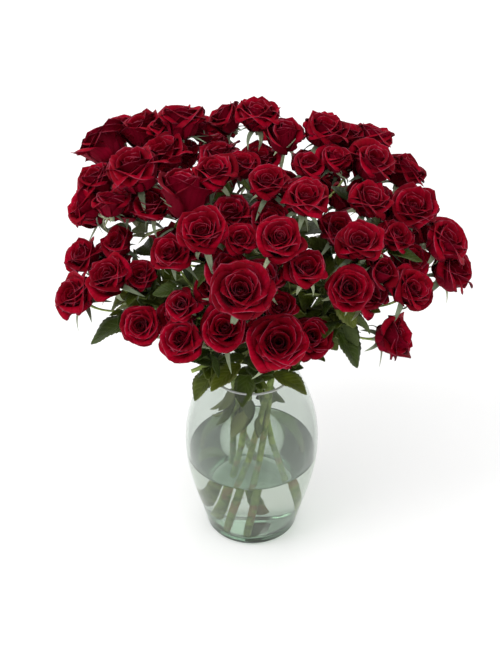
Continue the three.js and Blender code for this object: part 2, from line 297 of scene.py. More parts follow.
def add_turned(skin: Skin, outline: np.ndarray, sides: int) -> None:
    """Adds a closed body turned about the Z axis.

    Args:
        skin: the skin that it joins.
        outline: its half outline as (radius, height), from a point on the axis round to another, with
            the body on the left of the way.
        sides: how many sides it has round.
    """
    radius, height = outline[1:-1, :1], np.repeat(outline[1:-1, 1:], sides, 1)
    rings = np.stack([radius * np.cos(turns(sides)), radius * np.sin(turns(sides)), height], -1)
    add_rings(skin, rings, outline[0, 1] * UP, outline[-1, 1] * UP)


def make_piece(
    skin: Skin, name: str, material: bpy.types.Material, stands_for: Iterable[str] = ()
) -> bpy.types.Object:
    """Makes an object of a skin, dresses it and lets it ride on the body.

    Args:
        skin: its points and faces.
        name: the piece's name.
        material: its finish.
        stands_for: the CAD nodes that it takes the place of.

    Returns:
        The new object.
    """
    piece = bpy.data.objects.new(name, skin.mesh(name))
    bpy.context.scene.collection.objects.link(piece)
    piece.data.materials.append(material)
    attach(piece, BODY)
    if stands_for:
        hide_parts(*stands_for)
    LOG.info("%s: %d points", name, skin.count)
    return piece


# ---- Finishes ------------------------------------------------------------------------------------


class Sketch:
    """A node tree that is being drawn, with short ways to add and join its nodes."""

    def __init__(self, tree: bpy.types.NodeTree) -> None:
        """Starts on an empty tree."""
        self.tree = tree
        tree.nodes.clear()

    def node(self, kind: str, inputs: dict | None = None, **settings: object) -> bpy.types.Node:
        """Adds a node.

        Args:
            kind: its type, without the leading ShaderNode or Node.
            inputs: for its sockets, by name or number, a value or the output that feeds them.
            **settings: its own settings.

        Returns:
            The node.
        """
        prefix = "" if kind.startswith("Node") else "ShaderNode"
        made = self.tree.nodes.new(prefix + kind)
        for key, value in settings.items():
            setattr(made, key, value)
        return self.feed(made, inputs or {})

    def feed(self, node: bpy.types.Node, inputs: dict) -> bpy.types.Node:
        """Sets a node's sockets to values, or joins them to the outputs that feed them."""
        for key, value in inputs.items():
            if isinstance(value, bpy.types.NodeSocket):
                self.tree.links.new(value, node.inputs[key])
            else:
                node.inputs[key].default_value = value
        return node

    def math(self, operation: str, *values: object) -> bpy.types.NodeSocket:
        """A sum of one to three values or outputs, as an output."""
        return self.node("Math", dict(enumerate(values)), operation=operation).outputs[0]

    def ramp(
        self, value: object, low: float, high: float, to_low: float = 0.0, to_high: float = 1.0
    ) -> bpy.types.NodeSocket:
        """A value brought from one range to another, held at its ends."""
        inputs = {"Value": value, "From Min": low, "From Max": high, "To Min": to_low, "To Max": to_high}
        return self.node("MapRange", inputs, interpolation_type="SMOOTHSTEP").outputs[0]

    def spread(self, value: object, span: Span) -> bpy.types.NodeSocket:
        """A value from 0 to 1 brought between the two ends of a span."""
        return self.ramp(value, 0.0, 1.0, *span)

    def mix(self, share: object, a: object, b: object) -> bpy.types.NodeSocket:
        """Two colours mixed by a share."""
        return self.node("Mix", {0: share, 6: a, 7: b}, data_type="RGBA").outputs[2]

    def value_of(self, name: str) -> bpy.types.NodeSocket:
        """A named value that the mesh holds for each point."""
        return self.node("Attribute", attribute_name=name).outputs["Fac"]

    def group(self, tree: bpy.types.NodeTree, inputs: dict) -> bpy.types.Node:
        """Places a node group with its own values."""
        return self.node("Group", inputs, node_tree=tree)

    def bump(self, height: bpy.types.NodeSocket, strength: float, distance: float) -> bpy.types.NodeSocket:
        """A normal that follows a height."""
        inputs = {"Height": height, "Strength": strength, "Distance": distance}
        return self.node("Bump", inputs).outputs[0]


def new_group(
    name: str, inputs: Iterable[str], outputs: Iterable[str]
) -> tuple[Sketch, bpy.types.Node, bpy.types.Node]:
    """Starts a shader node group.

    Args:
        name: its name.
        inputs: the names of its inputs, each of them a number.
        outputs: the names of its outputs, each of them a mask.

    Returns:
        A sketch of the group, its input node and its output node.
    """
    tree = bpy.data.node_groups.new(name, "ShaderNodeTree")
    for side, sockets in (("INPUT", inputs), ("OUTPUT", outputs)):
        for socket in sockets:
            tree.interface.new_socket(socket, in_out=side, socket_type="NodeSocketFloat")
    sketch = Sketch(tree)
    return sketch, sketch.node("NodeGroupInput"), sketch.node("NodeGroupOutput")


def mottle_group() -> bpy.types.NodeTree:
    """The clouds of grown tissue: large blotches as a mask, and small ones as a grain."""
    sketch, given, result = new_group("grown_mottle", ("Size", "Detail"), ("Mask", "Grain"))
    place = sketch.node("TexCoord").outputs["Object"]
    for size, octaves, roughness, mask in (("Size", 3.0, 0.55, "Mask"), ("Detail", 2.0, 0.6, "Grain")):
        scale = sketch.math("DIVIDE", 1.0, given.outputs[size])
        inputs = {"Vector": place, "Scale": scale, "Detail": octaves, "Roughness": roughness}
        noise = sketch.node("TexNoise", inputs).outputs[0]
        sketch.feed(result, {mask: sketch.ramp(noise, *CLOUD_EDGES)})
    return sketch.tree


def veins_group() -> bpy.types.NodeTree:
    """Veins that leave a middle line at a slant, and the middle line itself, as one mask."""
    sketch, given, result = new_group(
        "leaf_and_petal_veins", ("Across", "Along", "Count", "Slant", "Fineness"), ("Mask",)
    )
    side = sketch.math("ABSOLUTE", given.outputs["Across"])
    lean = sketch.math("MULTIPLY", side, given.outputs["Slant"])
    way = sketch.math("SUBTRACT", given.outputs["Along"], lean)
    wave = sketch.math("SINE", sketch.math("MULTIPLY", way, given.outputs["Count"]))
    crest = sketch.math("POWER", sketch.ramp(wave, -1.0, 1.0), given.outputs["Fineness"])
    midrib = sketch.ramp(side, 0.0, 0.1, 1.0, 0.0)
    sketch.feed(result, {"Mask": sketch.math("MAXIMUM", crest, midrib)})
    return sketch.tree


class Finishes:
    """The materials of the bouquet, each made once."""

    def __init__(self) -> None:
        """Makes the shared effects and the materials that use them."""
        mottle, veins = mottle_group(), veins_group()
        self.petal = PetalFinish().material(mottle, veins)
        self.calyx = LeafFinish(
            "sepal_green", top=(0.30, 0.37, 0.23), under=(0.32, 0.39, 0.24), vein_count=9.0
        ).material(mottle, veins)
        self.leaf = LeafFinish(
            "leaf_green", top=(0.052, 0.084, 0.004), under=(0.15, 0.19, 0.065), vein_count=46.0
        ).material(mottle, veins)
        self.stem = StemFinish().material(mottle)
        self.glass = ClearFinish(
            "vase_glass", (0.86, 0.875, 0.855), GLASS_IOR, depth_tint=(0.50, 0.64, 0.55), depth_density=80.0
        ).material()
        # Painted highlight: the lip is hazier and whiter than the glass, for the light that a real rim
        # gathers.
        self.lip = ClearFinish(
            "vase_lip_painted_highlight", (0.92, 0.95, 0.94), GLASS_IOR, clearness=0.45, roughness=0.2,
            depth_tint=(0.64, 0.78, 0.71), depth_density=40.0,
        ).material()
        self.water = ClearFinish("vase_water", (0.95, 0.98, 0.93), WATER_IOR).material()
        # Painted reflection: a partly matt grey-green top for the look of the water's surface.
        self.water_top_painted_reflection = ClearFinish("water_top_painted_reflection", (0.76, 0.90, 0.78), WATER_IOR, clearness=0.78).material()


def colour(rgb: Colour) -> tuple[float, float, float, float]:
    """A colour with full opacity."""
    return (*rgb, 1.0)


def principled(name: str) -> tuple[bpy.types.Material, Sketch, bpy.types.Node, bpy.types.Node]:
    """A new material with its sketch, its Principled BSDF and its output node."""
    material = bpy.data.materials.new(name)
    material.use_nodes = True
    sketch = Sketch(material.node_tree)
    surface = sketch.node("BsdfPrincipled")
    output = sketch.node("OutputMaterial", {"Surface": surface.outputs[0]})
    return material, sketch, surface, output


@dataclass(frozen=True)
class PetalFinish:
    """Velvety crimson petals, pinker outside, with painted shade on their base and a painted highlight on
    their rim.
    """

    # painted shade: the black-red that the base of each petal takes, deep in the head
    base_shade: Colour = (0.085, 0.0, 0.002)
    face: Colour = (0.195, 0.0, 0.0065)
    blush: Colour = (0.29, 0.0, 0.014)
    back: Colour = (0.205, 0.001, 0.015)
    # painted highlight: the pale pink that light gives each petal's curled rim
    margin_highlight: Colour = (0.48, 0.10, 0.16)
    sheen: Colour = (1.0, 0.4, 0.55)
    base_shade_reach: Span = (0.25, 0.9)  # the painted shade at the base fades out between these shares of the length
    brightness: Span = (0.62, 1.24)  # from the darkest petal to the lightest; deep petals are darker, a painted shade
    vein_depth: float = 0.22
    margin_highlight_patches: Span = (0.05, 0.85)  # how strong the painted highlight on the rim is where it is least and most so
    roughness: Span = (0.5, 0.7)

    def material(self, mottle: bpy.types.NodeTree, veins: bpy.types.NodeTree) -> bpy.types.Material:
        """The petal material, which reads along, across, tone (with painted shade), edge (a painted
        highlight) and under.
        """
        material, sketch, surface, _ = principled("rose_petal")
        along, across = sketch.value_of("along"), sketch.value_of("across")
        cloud = sketch.group(mottle, {"Size": 0.011, "Detail": 0.0012}).outputs
        # A petal's veins run up it from the base, so its two directions change places here.
        vein = sketch.group(
            veins, {"Across": along, "Along": across, "Count": 44.0, "Slant": 0.25, "Fineness": 3.0}
        ).outputs["Mask"]
        face = sketch.mix(cloud["Mask"], colour(self.face), colour(self.blush))
        # Painted shade: each petal darkens to black-red towards its base, deep in the head.
        face = sketch.mix(sketch.ramp(along, *self.base_shade_reach, 1.0, 0.0), face, colour(self.base_shade))
        whole = sketch.mix(sketch.value_of("under"), face, colour(self.back))
        # Each petal's tone: random, but darker for petals deep in the head, a painted shade.
        light = sketch.spread(sketch.value_of("tone"), self.brightness)
        toned = sketch.node("HueSaturation", {"Color": whole, "Value": light}).outputs[0]
        veined = sketch.mix(sketch.math("MULTIPLY", vein, self.vein_depth), toned, colour(self.base_shade))
        # Painted highlight: a pale pink line along each petal's rim, in patches.
        patchy = sketch.ramp(cloud["Mask"], 0.2, 0.9, *self.margin_highlight_patches)
        rim = sketch.math("MULTIPLY", sketch.value_of("edge"), patchy)
        height = sketch.math("ADD", sketch.math("MULTIPLY", vein, 0.5), cloud["Grain"])
        sketch.feed(surface, {
            "Base Color": sketch.mix(rim, veined, colour(self.margin_highlight)),
            "Roughness": sketch.spread(cloud["Grain"], self.roughness),
            "Normal": sketch.bump(height, 0.25, 0.2 * MM),
            "Sheen Weight": 0.05,
            "Sheen Roughness": 0.3,
            "Sheen Tint": colour(self.sheen),
            "Specular IOR Level": 0.035,
        })
        return material


@dataclass(frozen=True)
class LeafFinish:
    """Matt green leaf tissue with paler veins and a grey-green underside."""

    name: str
    top: Colour
    under: Colour
    vein_count: float
    shade: float = 0.6  # how dark the top's darker clouds are
    vein_depth: float = 0.14
    hues: Span = (0.51, 0.47)  # from the darkest leaf to the lightest, which is also the yellowest
    brightness: Span = (0.7, 1.45)
    roughness: Span = (0.38, 0.6)

    def material(self, mottle: bpy.types.NodeTree, veins: bpy.types.NodeTree) -> bpy.types.Material:
        """The leaf material, which reads the leaves' along, across, tone and under values."""
        material, sketch, surface, _ = principled(self.name)
        cloud = sketch.group(mottle, {"Size": 0.014, "Detail": 0.0011}).outputs
        place = {"Across": sketch.value_of("across"), "Along": sketch.value_of("along")}
        pattern = {"Count": self.vein_count, "Slant": 0.3, "Fineness": 7.0}
        vein = sketch.group(veins, place | pattern).outputs["Mask"]
        top = sketch.mix(cloud["Mask"], colour(tuple(self.shade * c for c in self.top)), colour(self.top))
        top = sketch.mix(sketch.math("MULTIPLY", vein, self.vein_depth), top, colour(self.under))
        whole = sketch.mix(sketch.value_of("under"), top, colour(self.under))
        tone = sketch.value_of("tone")
        hue, light = sketch.spread(tone, self.hues), sketch.spread(tone, self.brightness)
        height = sketch.math("SUBTRACT", cloud["Grain"], sketch.math("MULTIPLY", vein, 2.0))
        toned = sketch.node("HueSaturation", {"Hue": hue, "Color": whole, "Value": light}).outputs[0]
        sketch.feed(surface, {
            "Base Color": toned,
            "Roughness": sketch.spread(cloud["Grain"], self.roughness),
            "Normal": sketch.bump(height, 0.35, 0.3 * MM),
            "Specular IOR Level": 0.24,
        })
        return material


@dataclass(frozen=True)
class StemFinish:
    """Olive-green bark, redder where thorns and joints are and in patches low on the cane."""

    shade: Colour = (0.17, 0.24, 0.05)
    light: Colour = (0.38, 0.48, 0.13)
    red: Colour = (0.45, 0.17, 0.11)
    brightness: Span = (0.75, 1.3)
    roughness: Span = (0.4, 0.65)
    scar_depth: float = 0.6

    def material(self, mottle: bpy.types.NodeTree) -> bpy.types.Material:
        """The stem material, which reads the stems' along, tone and scar values."""
        material, sketch, surface, _ = principled("rose_stem")
        cloud = sketch.group(mottle, {"Size": 0.009, "Detail": 0.0008}).outputs
        green = sketch.mix(cloud["Mask"], colour(self.shade), colour(self.light))
        light = sketch.spread(sketch.value_of("tone"), self.brightness)
        toned = sketch.node("HueSaturation", {"Color": green, "Value": light}).outputs[0]
        blotch = sketch.group(mottle, {"Size": 0.026, "Detail": 0.002}).outputs["Mask"]
        old = sketch.ramp(sketch.value_of("along"), 0.2, 0.6, 0.55, 0.0)
        flush = sketch.math("MULTIPLY", sketch.ramp(blotch, 0.6, 0.95), old)
        scar = sketch.math("MULTIPLY", sketch.value_of("scar"), self.scar_depth)
        sketch.feed(surface, {
            "Base Color": sketch.mix(sketch.math("MAXIMUM", scar, flush), toned, colour(self.red)),
            "Roughness": sketch.spread(cloud["Grain"], self.roughness),
            "Normal": sketch.bump(cloud["Grain"], 0.3, 0.2 * MM),
        })
        return material


@dataclass(frozen=True)
class ClearFinish:
    """A clear body, glass or water, with the faint colour that its thickness gives it.

    Lamps shine through it by a plain transparent shader, so that what stands inside isn't black.
    """

    name: str
    tint: Colour
    ior: float
    # below 1, the matt share stands in for light: the lip's painted highlight and the water top's painted
    # reflection
    clearness: float = 1.0
    roughness: float = 0.0
    depth_tint: Colour = (1.0, 1.0, 1.0)
    depth_density: float = 0.0

    def material(self) -> bpy.types.Material:
        """The clear material, with its constant values on the shaders' own sockets."""
        material, sketch, surface, output = principled(self.name)
        sketch.feed(surface, {
            "Base Color": colour(self.tint),
            "Roughness": self.roughness,
            "IOR": self.ior,
            "Transmission Weight": self.clearness,
        })
        lamp = sketch.node("BsdfTransparent", {"Color": colour(tuple(c * c for c in self.tint))})
        ray = sketch.node("LightPath").outputs["Is Shadow Ray"]
        whole = sketch.node("MixShader", {0: ray, 1: surface.outputs[0], 2: lamp.outputs[0]})
        sketch.feed(output, {"Surface": whole.outputs[0]})
        if self.depth_density:
            body = {"Color": colour(self.depth_tint), "Density": self.depth_density}
            sketch.feed(output, {"Volume": sketch.node("VolumeAbsorption", body).outputs[0]})
        return material


# ---- Reading the frame ---------------------------------------------------------------------------


def triangles_of(node: str) -> np.ndarray:
    """A CAD node's triangles, as an array of triangles by corners by coordinates."""
    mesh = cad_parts[node].data
    mesh.calc_loop_triangles()
    points = np.empty(3 * len(mesh.vertices), np.float32)
    mesh.vertices.foreach_get("co", points)
    corners = np.empty(3 * len(mesh.loop_triangles), np.int32)
    mesh.loop_triangles.foreach_get("vertices", corners)
    return points.astype(float).reshape(-1, 3)[corners].reshape(-1, 3, 3)


def spray_of(rose: str) -> str:
    """The name of the spray that a rose's CAD node belongs to, such as left_top for rose_left_top_a."""
    return rose.removeprefix("rose_").rpartition("_")[0]


MOUTH = np.array([0.0, 0.0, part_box("vase")[1].z])


def at(place: Iterable[float]) -> np.ndarray:
    """A place, or several, given in millimetres from the middle of the vase's mouth."""
    return MOUTH + np.array(place) * MM


HEART = at((0.0, 50.0, -90.0))  # the heads face away from here


# ---- Rose heads ----------------------------------------------------------------------------------


class Stage(Enum):
    """How far a rose has opened."""

    BUD = "bud"
    CUP = "cup"
    OPEN = "open"


@dataclass(frozen=True)
class Habit:
    """How the petals of one stage stand.

    The spread is how far from the axis the outer petals reach, as a share of the head's width.
    Each pair is for the innermost petal and then for the outermost. Angles are from the head's axis, in
    degrees. Lengths are shares of the head's width, and the middle one is for a petal halfway out.
    """

    tall: float
    petals: int
    spread: float
    base: Span
    middle: Span
    top: Span
    roll: float
    length: tuple[float, float, float]
    sepal: Span
    girth: float = 1.0  # its widest ring in the CAD, as a share of an open head's


HABITS = {
    Stage.BUD: Habit(1.1, 13, 0.55, (22, 48), (0, 6), (-14, -2), 60, (0.74, 0.98, 0.96), (50, 75), 0.88),
    Stage.CUP: Habit(0.88, 21, 0.60, (28, 68), (0, 12), (-20, 16), 100, (0.47, 0.72, 0.76), (95, 135)),
    Stage.OPEN: Habit(0.76, 25, 0.51, (30, 76), (0, 27), (-18, 34), 115, (0.38, 0.60, 0.64), (105, 150)),
}
FIRM_SHARE = 0.86  # the CAD's solid heads stop where the petals' tips begin to curl out
# How much larger the roses of the tightest sprays are than their solids, as their petals press together.
FULLER = {"left_top": 1.12, "left_top_back": 1.12, "right_top": 1.1, "right": 1.07}


@dataclass(frozen=True)
class PetalForm:
    """The proportions that all petals share.

    Lengths are shares of the head's width, places up a petal are shares of its length, and angles are
    in degrees. A span is for the innermost petal and the outermost, or for the least and the most that
    chance gives. A growth is what age adds, from the innermost petal to the outermost.
    """

    thickness: float = 0.35 * MM
    half_width: Span = (0.15, 0.60)
    row_crowding: float = 1.5  # how much closer its rows of points stand towards the margin
    column_crowding: float = 0.8  # the same for its columns towards the sides
    length_chance: float = 0.03
    side_drop: float = 0.27  # how far the margin falls back at the sides
    point: Span = (0.02, 0.10)  # how far the middle of the margin stands out
    point_width: float = 0.2
    waves: Span = (3.0, 6.5)  # how fast the margin waves from side to side
    nicks: float = 0.014
    lean_chance: float = 2.0
    lean_growth: float = 5.0
    upright_at: float = 0.35  # where the curve out of the hip ends
    opening_from: float = 0.4  # where the curve towards the tip begins
    roll_from: float = 0.86  # where the middle of the margin begins to roll back
    roll_sooner: float = 0.30  # how much lower its sides begin
    shoulder: float = 0.75  # how far to the side it rolls the most
    roll_chance: Span = (0.7, 1.25)
    root: float = 0.035  # how far from the axis it starts
    root_growth: float = 0.025
    root_height: float = 0.10
    flatness: float = 0.30  # how much less an outer petal wraps round the head
    most_wrap: float = 2.7  # the most that half of it wraps round the head, in radians
    wrap_loss: float = 1.1
    overlap: float = 0.012  # how far one side stands outside the other
    overlap_growth: float = 0.022
    ruffle: float = 0.006
    ruffle_growth: float = 0.018
    ripple: float = 0.011  # how much the margin goes up and down
    pale_corners: float = 0.8  # how much of the painted highlight on the rim the corners lose

    def grid(self, rows: int, columns: int) -> tuple[np.ndarray, np.ndarray]:
        """Places up a petal as a column from 0 to 1, and across it as a row from -1 to 1."""
        v = (1 - (1 - np.linspace(0, 1, rows)) ** self.row_crowding)[:, None]
        x = np.linspace(-1, 1, columns)
        return v, (np.sign(x) * np.abs(x) ** self.column_crowding)[None, :]

    def angles(
        self, habit: Habit, age: float, v: np.ndarray, side: np.ndarray, share: np.ndarray,
        dice: np.random.Generator,
    ) -> np.ndarray:
        """How far each point of a petal leans out from the head's axis.

        Args:
            habit: how the head's petals stand.
            age: 0 for the innermost petal to 1 for the outermost.
            v: places up the petal.
            side: distances from its middle line, 1 at its sides.
            share: how far up a full petal each of its points is.
            dice: the head's random numbers.

        Returns:
            The angle at each point, in radians.
        """
        lean = dice.normal(0, self.lean_chance + self.lean_growth * age**2)
        base, middle, top = (a + (b - a) * age + lean for a, b in (habit.base, habit.middle, habit.top))
        opening = smooth((share - self.opening_from) / (1 - self.opening_from))
        angle = base + (middle - base) * smooth(share / self.upright_at) + (top - middle) * opening
        start = self.roll_from - self.roll_sooner * side**1.5
        shoulder = 0.35 + 0.65 * np.exp(-(((side - self.shoulder) / 0.4) ** 2))
        rolling = habit.roll * min(1.0, 0.15 + 1.1 * age) * dice.uniform(*self.roll_chance)
        return np.radians(angle + rolling * shoulder * smooth((v - start) / (1 - start)))

    @staticmethod
    def painted_light_share(age: float) -> float:
        """How much painted light a petal gets in its tone and rim highlight, least for petals deep in the
        head.
        """
        return 0.3 + 0.7 * age**0.5


@dataclass
class RoseHead:
    """One rose: its spiral of petals on a hip with five sepals."""

    name: str
    base: np.ndarray
    axis: np.ndarray
    width: float
    stage: Stage
    stands_for: tuple[str, ...] = ()
    fineness: int = 13  # how many rows and columns of points a petal has
    form: PetalForm = PetalForm()
    hip_radius: float = 0.066  # as a share of the width, like the sepals' sizes
    hip_rises: tuple[float, ...] = (0.05, 0.11, 0.17, 0.2)  # heights of its rings, as shares of the head's
    hip_girths: tuple[float, ...] = (0.85, 1.0, 0.8, 0.3)  # and their radii, as shares of its own
    sepals: int = 5
    sepal_length: float = 0.60
    sepal_width: float = 0.055
    sepal_root: float = 0.155  # the height where they grow, as a share of the head's
    sepal_thickness: float = 0.5 * MM

    @classmethod
    def read(cls, node: str) -> "RoseHead":
        """Reads a head's place, axis, width and stage from its CAD solid."""
        triangles = triangles_of(node)
        points, index = np.unique(np.round(triangles.reshape(-1, 3), 6), axis=0, return_inverse=True)
        index = index.reshape(-1, 3)
        poles = np.argsort(np.bincount(index.ravel()))[-2:]  # where the most triangles meet
        fans = [points[index[(index == pole).any(1)]] - points[pole] for pole in poles]
        reach = [np.linalg.norm(fan, axis=-1).mean() for fan in fans]
        base, top = points[poles[np.argsort(reach)]]
        axis = unit(top - base)
        rise = (points - base) @ axis
        radius = np.linalg.norm(points - base - rise[:, None] * axis, axis=1)
        width = 2 * max(radius[np.abs(rise - r) < 0.1 * MM].mean() for r in rise) / FIRM_SHARE
        proportion = rise.max() / width
        stage = min(HABITS, key=lambda s: abs(HABITS[s].tall / HABITS[s].girth - proportion))
        width = width / HABITS[stage].girth * FULLER.get(spray_of(node), 1.0)
        return cls(node, base, axis, width, stage, (node,))

    @property
    def habit(self) -> Habit:
        """How its petals stand."""
        return HABITS[self.stage]

    @property
    def height(self) -> float:
        """From the foot of the hip to the highest petals."""
        return self.habit.tall * self.width

    def placed(self, local: np.ndarray, turn: float) -> np.ndarray:
        """Points of the head's own frame, turned about its axis and put in place."""
        c, s = math.cos(turn), math.sin(turn)
        spun = local @ np.array([[c, s, 0], [-s, c, 0], [0, 0, 1.0]])
        return self.base + spun @ axes_along(self.axis)

    def petal(self, age: float, dice: np.random.Generator) -> tuple[np.ndarray, Values]:
        """Shapes one petal that stands in front of the head's own X axis.

        Args:
            age: 0 for the innermost petal to 1 for the outermost.
            dice: the head's random numbers.

        Returns:
            Its surface as rows by columns by 3, in widths of the head, and its named values.
        """
        habit, form = self.habit, self.form
        v, u = form.grid(self.fineness, self.fineness)
        side = np.abs(u)
        length = np.interp(age, [0, 0.5, 1], habit.length) * dice.normal(1, form.length_chance)
        point, phase, waves = dice.uniform(*form.point), dice.uniform(0, 6.28), dice.uniform(*form.waves)
        outline = 1 - form.side_drop * side**3.4 + point * np.exp(-((u / form.point_width) ** 2))
        outline = outline + form.nicks * np.sin(2.3 * waves * u + phase)
        share = v * outline
        angle = form.angles(habit, age, v, side, share, dice)
        step = np.diff(share, axis=0) * length
        middling = (angle[1:] + angle[:-1]) / 2
        out, up = (np.vstack([0 * u, np.cumsum(way(middling) * step, axis=0)]) for way in (np.sin, np.cos))
        out = form.root + form.root_growth * age + out
        up = form.root_height * habit.tall + up
        centre = out[:, self.fineness // 2][:, None]
        low, high = form.half_width
        widening = np.sin(math.pi / 2 * np.clip(v / 0.6, 0, 1)) ** 1.2
        half = (low + (high - low) * age**0.7) * (0.5 + 0.5 * widening)
        flat = 1 + form.flatness * age
        most = form.most_wrap - form.wrap_loss * age
        turn = np.clip(u * half / (flat * np.maximum(centre, 0.03)), -most, most)
        ruffle = (form.ruffle + form.ruffle_growth * age) * v**2 * np.sin(waves * u + phase)
        radial = flat * centre + (out - centre) + (form.overlap + form.overlap_growth * age) * u + ruffle
        up = up + form.ripple * v**2 * np.sin(waves * 1.7 * u + phase + 1.0)
        local = np.stack([centre * (1 - flat) + radial * np.cos(turn), radial * np.sin(turn), up], -1)
        # The painted highlight along the rim: weaker at the corners and on petals deep in the head.
        edge = (v >= 1) * (1 - form.pale_corners * side**4) * form.painted_light_share(age)
        return local, {"along": v + 0 * u, "across": u + 0 * v, "edge": edge}

    def build_petals(self, finishes: Finishes) -> bpy.types.Object:
        """Builds the whole spiral of petals as one piece."""
        dice = random_of(self.name)
        start = dice.uniform(0, 2 * math.pi)
        sheets = []
        for i in range(self.habit.petals):
            age = (i / (self.habit.petals - 1)) ** 1.1
            turn = start + i * GOLDEN_ANGLE + dice.normal(0, 0.08)
            # A petal's tone is random, lowered for petals deep in the head as a painted shade.
            sheets.append((turn, *self.petal(age, dice), dice.uniform() * self.form.painted_light_share(age)))
        outer = [local for _, local, _, _ in sheets[-7:]]
        reach = np.mean([np.hypot(local[..., 0], local[..., 1]).max() for local in outer])
        top = max(local[..., 2].max() for _, local, _, _ in sheets)
        wide = self.habit.spread / reach
        fit = np.array([wide, wide, self.habit.tall / top]) * self.width
        skin = Skin()
        for turn, local, values, tone in sheets:
            thick = self.form.thickness * (1 - 0.5 * values["along"])
            add_sheet(skin, self.placed(local * fit, turn), thick, tone=tone, **values)
        return make_piece(skin, f"{self.name}_petals", finishes.petal, self.stands_for)

    def build_calyx(self, finishes: Finishes) -> bpy.types.Object:
        """Builds the hip and its sepals as one piece."""
        dice = random_of(self.name + "_calyx")
        skin = Skin()
        rise = np.array([-1.5 * MM, 0.0, *(np.array(self.hip_rises) * self.height)])
        hip = self.hip_radius * self.width
        girth = np.array([1.35 * MM, 1.6 * MM, *(np.array(self.hip_girths) * hip)])
        rings = np.arange(len(rise))
        steps = np.linspace(0, rings[-1], 21)
        line = self.base + np.interp(steps, rings, rise)[:, None] * self.axis
        add_tube(skin, line, np.interp(steps, rings, girth), 12, tone=0.4, under=0.3, along=0.3, across=0.5)
        start = dice.uniform(0, 2 * math.pi)
        for i in range(self.sepals):
            sheet, values = self.sepal(dice)
            turn = start + i * math.radians(144) + dice.normal(0, 0.1)
            thick = self.sepal_thickness * (1 - 0.6 * values["along"])
            add_sheet(skin, self.placed(sheet, turn), thick, tone=dice.uniform(), **values)
        return make_piece(skin, f"{self.name}_calyx", finishes.calyx, self.stands_for)

    def sepal(self, dice: np.random.Generator) -> tuple[np.ndarray, Values]:
        """Shapes one long, tapering sepal in front of the head's own X axis, in metres."""
        v = np.linspace(0, 1, 15)[:, None]
        u = np.linspace(-1, 1, 5)[None, :]
        length = self.sepal_length * self.width * dice.uniform(0.75, 1.25)
        root, tip = self.habit.sepal
        root, tip = root + dice.normal(0, 8), tip + dice.normal(0, 32)
        angle = np.radians(root + (tip - root) * smooth(v / 0.9))
        step = length * np.diff(v, axis=0)
        out, up = (
            np.vstack([0 * v[:1], np.cumsum(way(angle[1:]) * step, axis=0)]) for way in (np.sin, np.cos)
        )
        out = 0.8 * self.hip_radius * self.width + out
        up = self.sepal_root * self.height + up
        taper = (1 - v) ** 0.7 * (1 + 0.5 * np.sin(math.pi * v**0.7))
        half = self.sepal_width * self.width * taper + 0.15 * MM
        bend = dice.normal(0, 0.12) * length * v**2
        fold = 0.35 * half * u**2
        local = np.stack([out - fold * np.cos(angle), u * half + bend, up + fold * np.sin(angle)], -1)
        return local, {"along": v + 0 * u, "across": u + 0 * v}


# ---- Stems and leaves ----------------------------------------------------------------------------


@dataclass
class Leaflet:
    """One serrated leaf blade, from its root to its tip."""

    root: np.ndarray
    tip: np.ndarray
    up: np.ndarray
    width_share: float = 0.56
    teeth: int = 10
    thickness: float = 0.4 * MM

    def add(self, skin: Skin, dice: np.random.Generator) -> None:
        """Adds the blade to a skin, with its own fold, droop and ripple."""
        length = np.linalg.norm(self.tip - self.root)
        along = unit(self.tip - self.root)
        across = unit(np.cross(self.up, along))
        up = np.cross(along, across)
        v = np.linspace(0, 1, 3 * self.teeth + 1)[:, None]
        u = np.linspace(-1, 1, 7)[None, :]
        side = np.abs(u)
        tooth = ((v * self.teeth) % 1.0) * (side >= 1) * np.sin(math.pi * v) ** 0.5
        half = 0.5 * self.width_share * length * np.sin(math.pi * v**0.82) ** 0.8 + 0.3 * MM
        y = u * half * (1 + 0.13 * tooth)
        fold, droop = dice.uniform(0.15, 0.45), dice.uniform(0.05, 0.16)
        ripple = 0.02 * np.sin(dice.uniform(7, 12) * v + dice.uniform(0, 6)) * side**2
        x = length * (v + 0.02 * tooth)
        z = fold * side * half + (2 * droop * (v - v**2) + ripple) * length
        sheet = self.root + x[..., None] * along + y[..., None] * across + z[..., None] * up
        thick = np.full(y.shape, self.thickness)
        add_sheet(skin, sheet, thick, along=v + 0 * u, across=u + 0 * v, tone=dice.uniform())


def add_stalk(skin: Skin, line: np.ndarray, radii: np.ndarray | float, sides: int = 6) -> None:
    """Adds a leaf's stalk along a line."""
    add_tube(skin, line, radii, sides, along=0.2, across=0.6, tone=0.8, under=0.6)


def three_blades(
    root: np.ndarray, aim: np.ndarray, size: float, dice: np.random.Generator
) -> list[tuple[np.ndarray, np.ndarray, float]]:
    """Shares out a compound leaf.

    Args:
        root: where its end blade starts.
        aim: which way it points.
        size: the length of its end blade.
        dice: the stem's random numbers.

    Returns:
        The root, direction and length of the end blade and of the two beside it.
    """
    across = unit(np.cross(UP, aim))
    blades = [(root, aim, size)]
    for sign in (-1, 1):
        side = unit(0.5 * aim + sign * across + UP * dice.uniform(-0.2, 0.3))
        blades.append((root - 0.08 * size * aim, side, size * dice.uniform(0.6, 0.8)))
    return blades


@dataclass
class Crowd:
    """The room that the rose heads take up, which leaves keep out of."""

    middles: list[np.ndarray] = field(default_factory=list)
    radii: list[float] = field(default_factory=list)
    firm_share: float = 0.8  # leaves may stand among the outer petals beyond it

    def add(self, head: RoseHead) -> None:
        """Notes a head's room."""
        self.middles.append(head.base + 0.55 * head.height * head.axis)
        self.radii.append(0.5 * head.width)

    def clear(self, points: np.ndarray) -> bool:
        """Whether all the points are outside every head's firm part."""
        gap = np.linalg.norm(points[:, None] - np.array(self.middles)[None], axis=-1)
        return bool((gap > self.firm_share * np.array(self.radii)[None]).all())


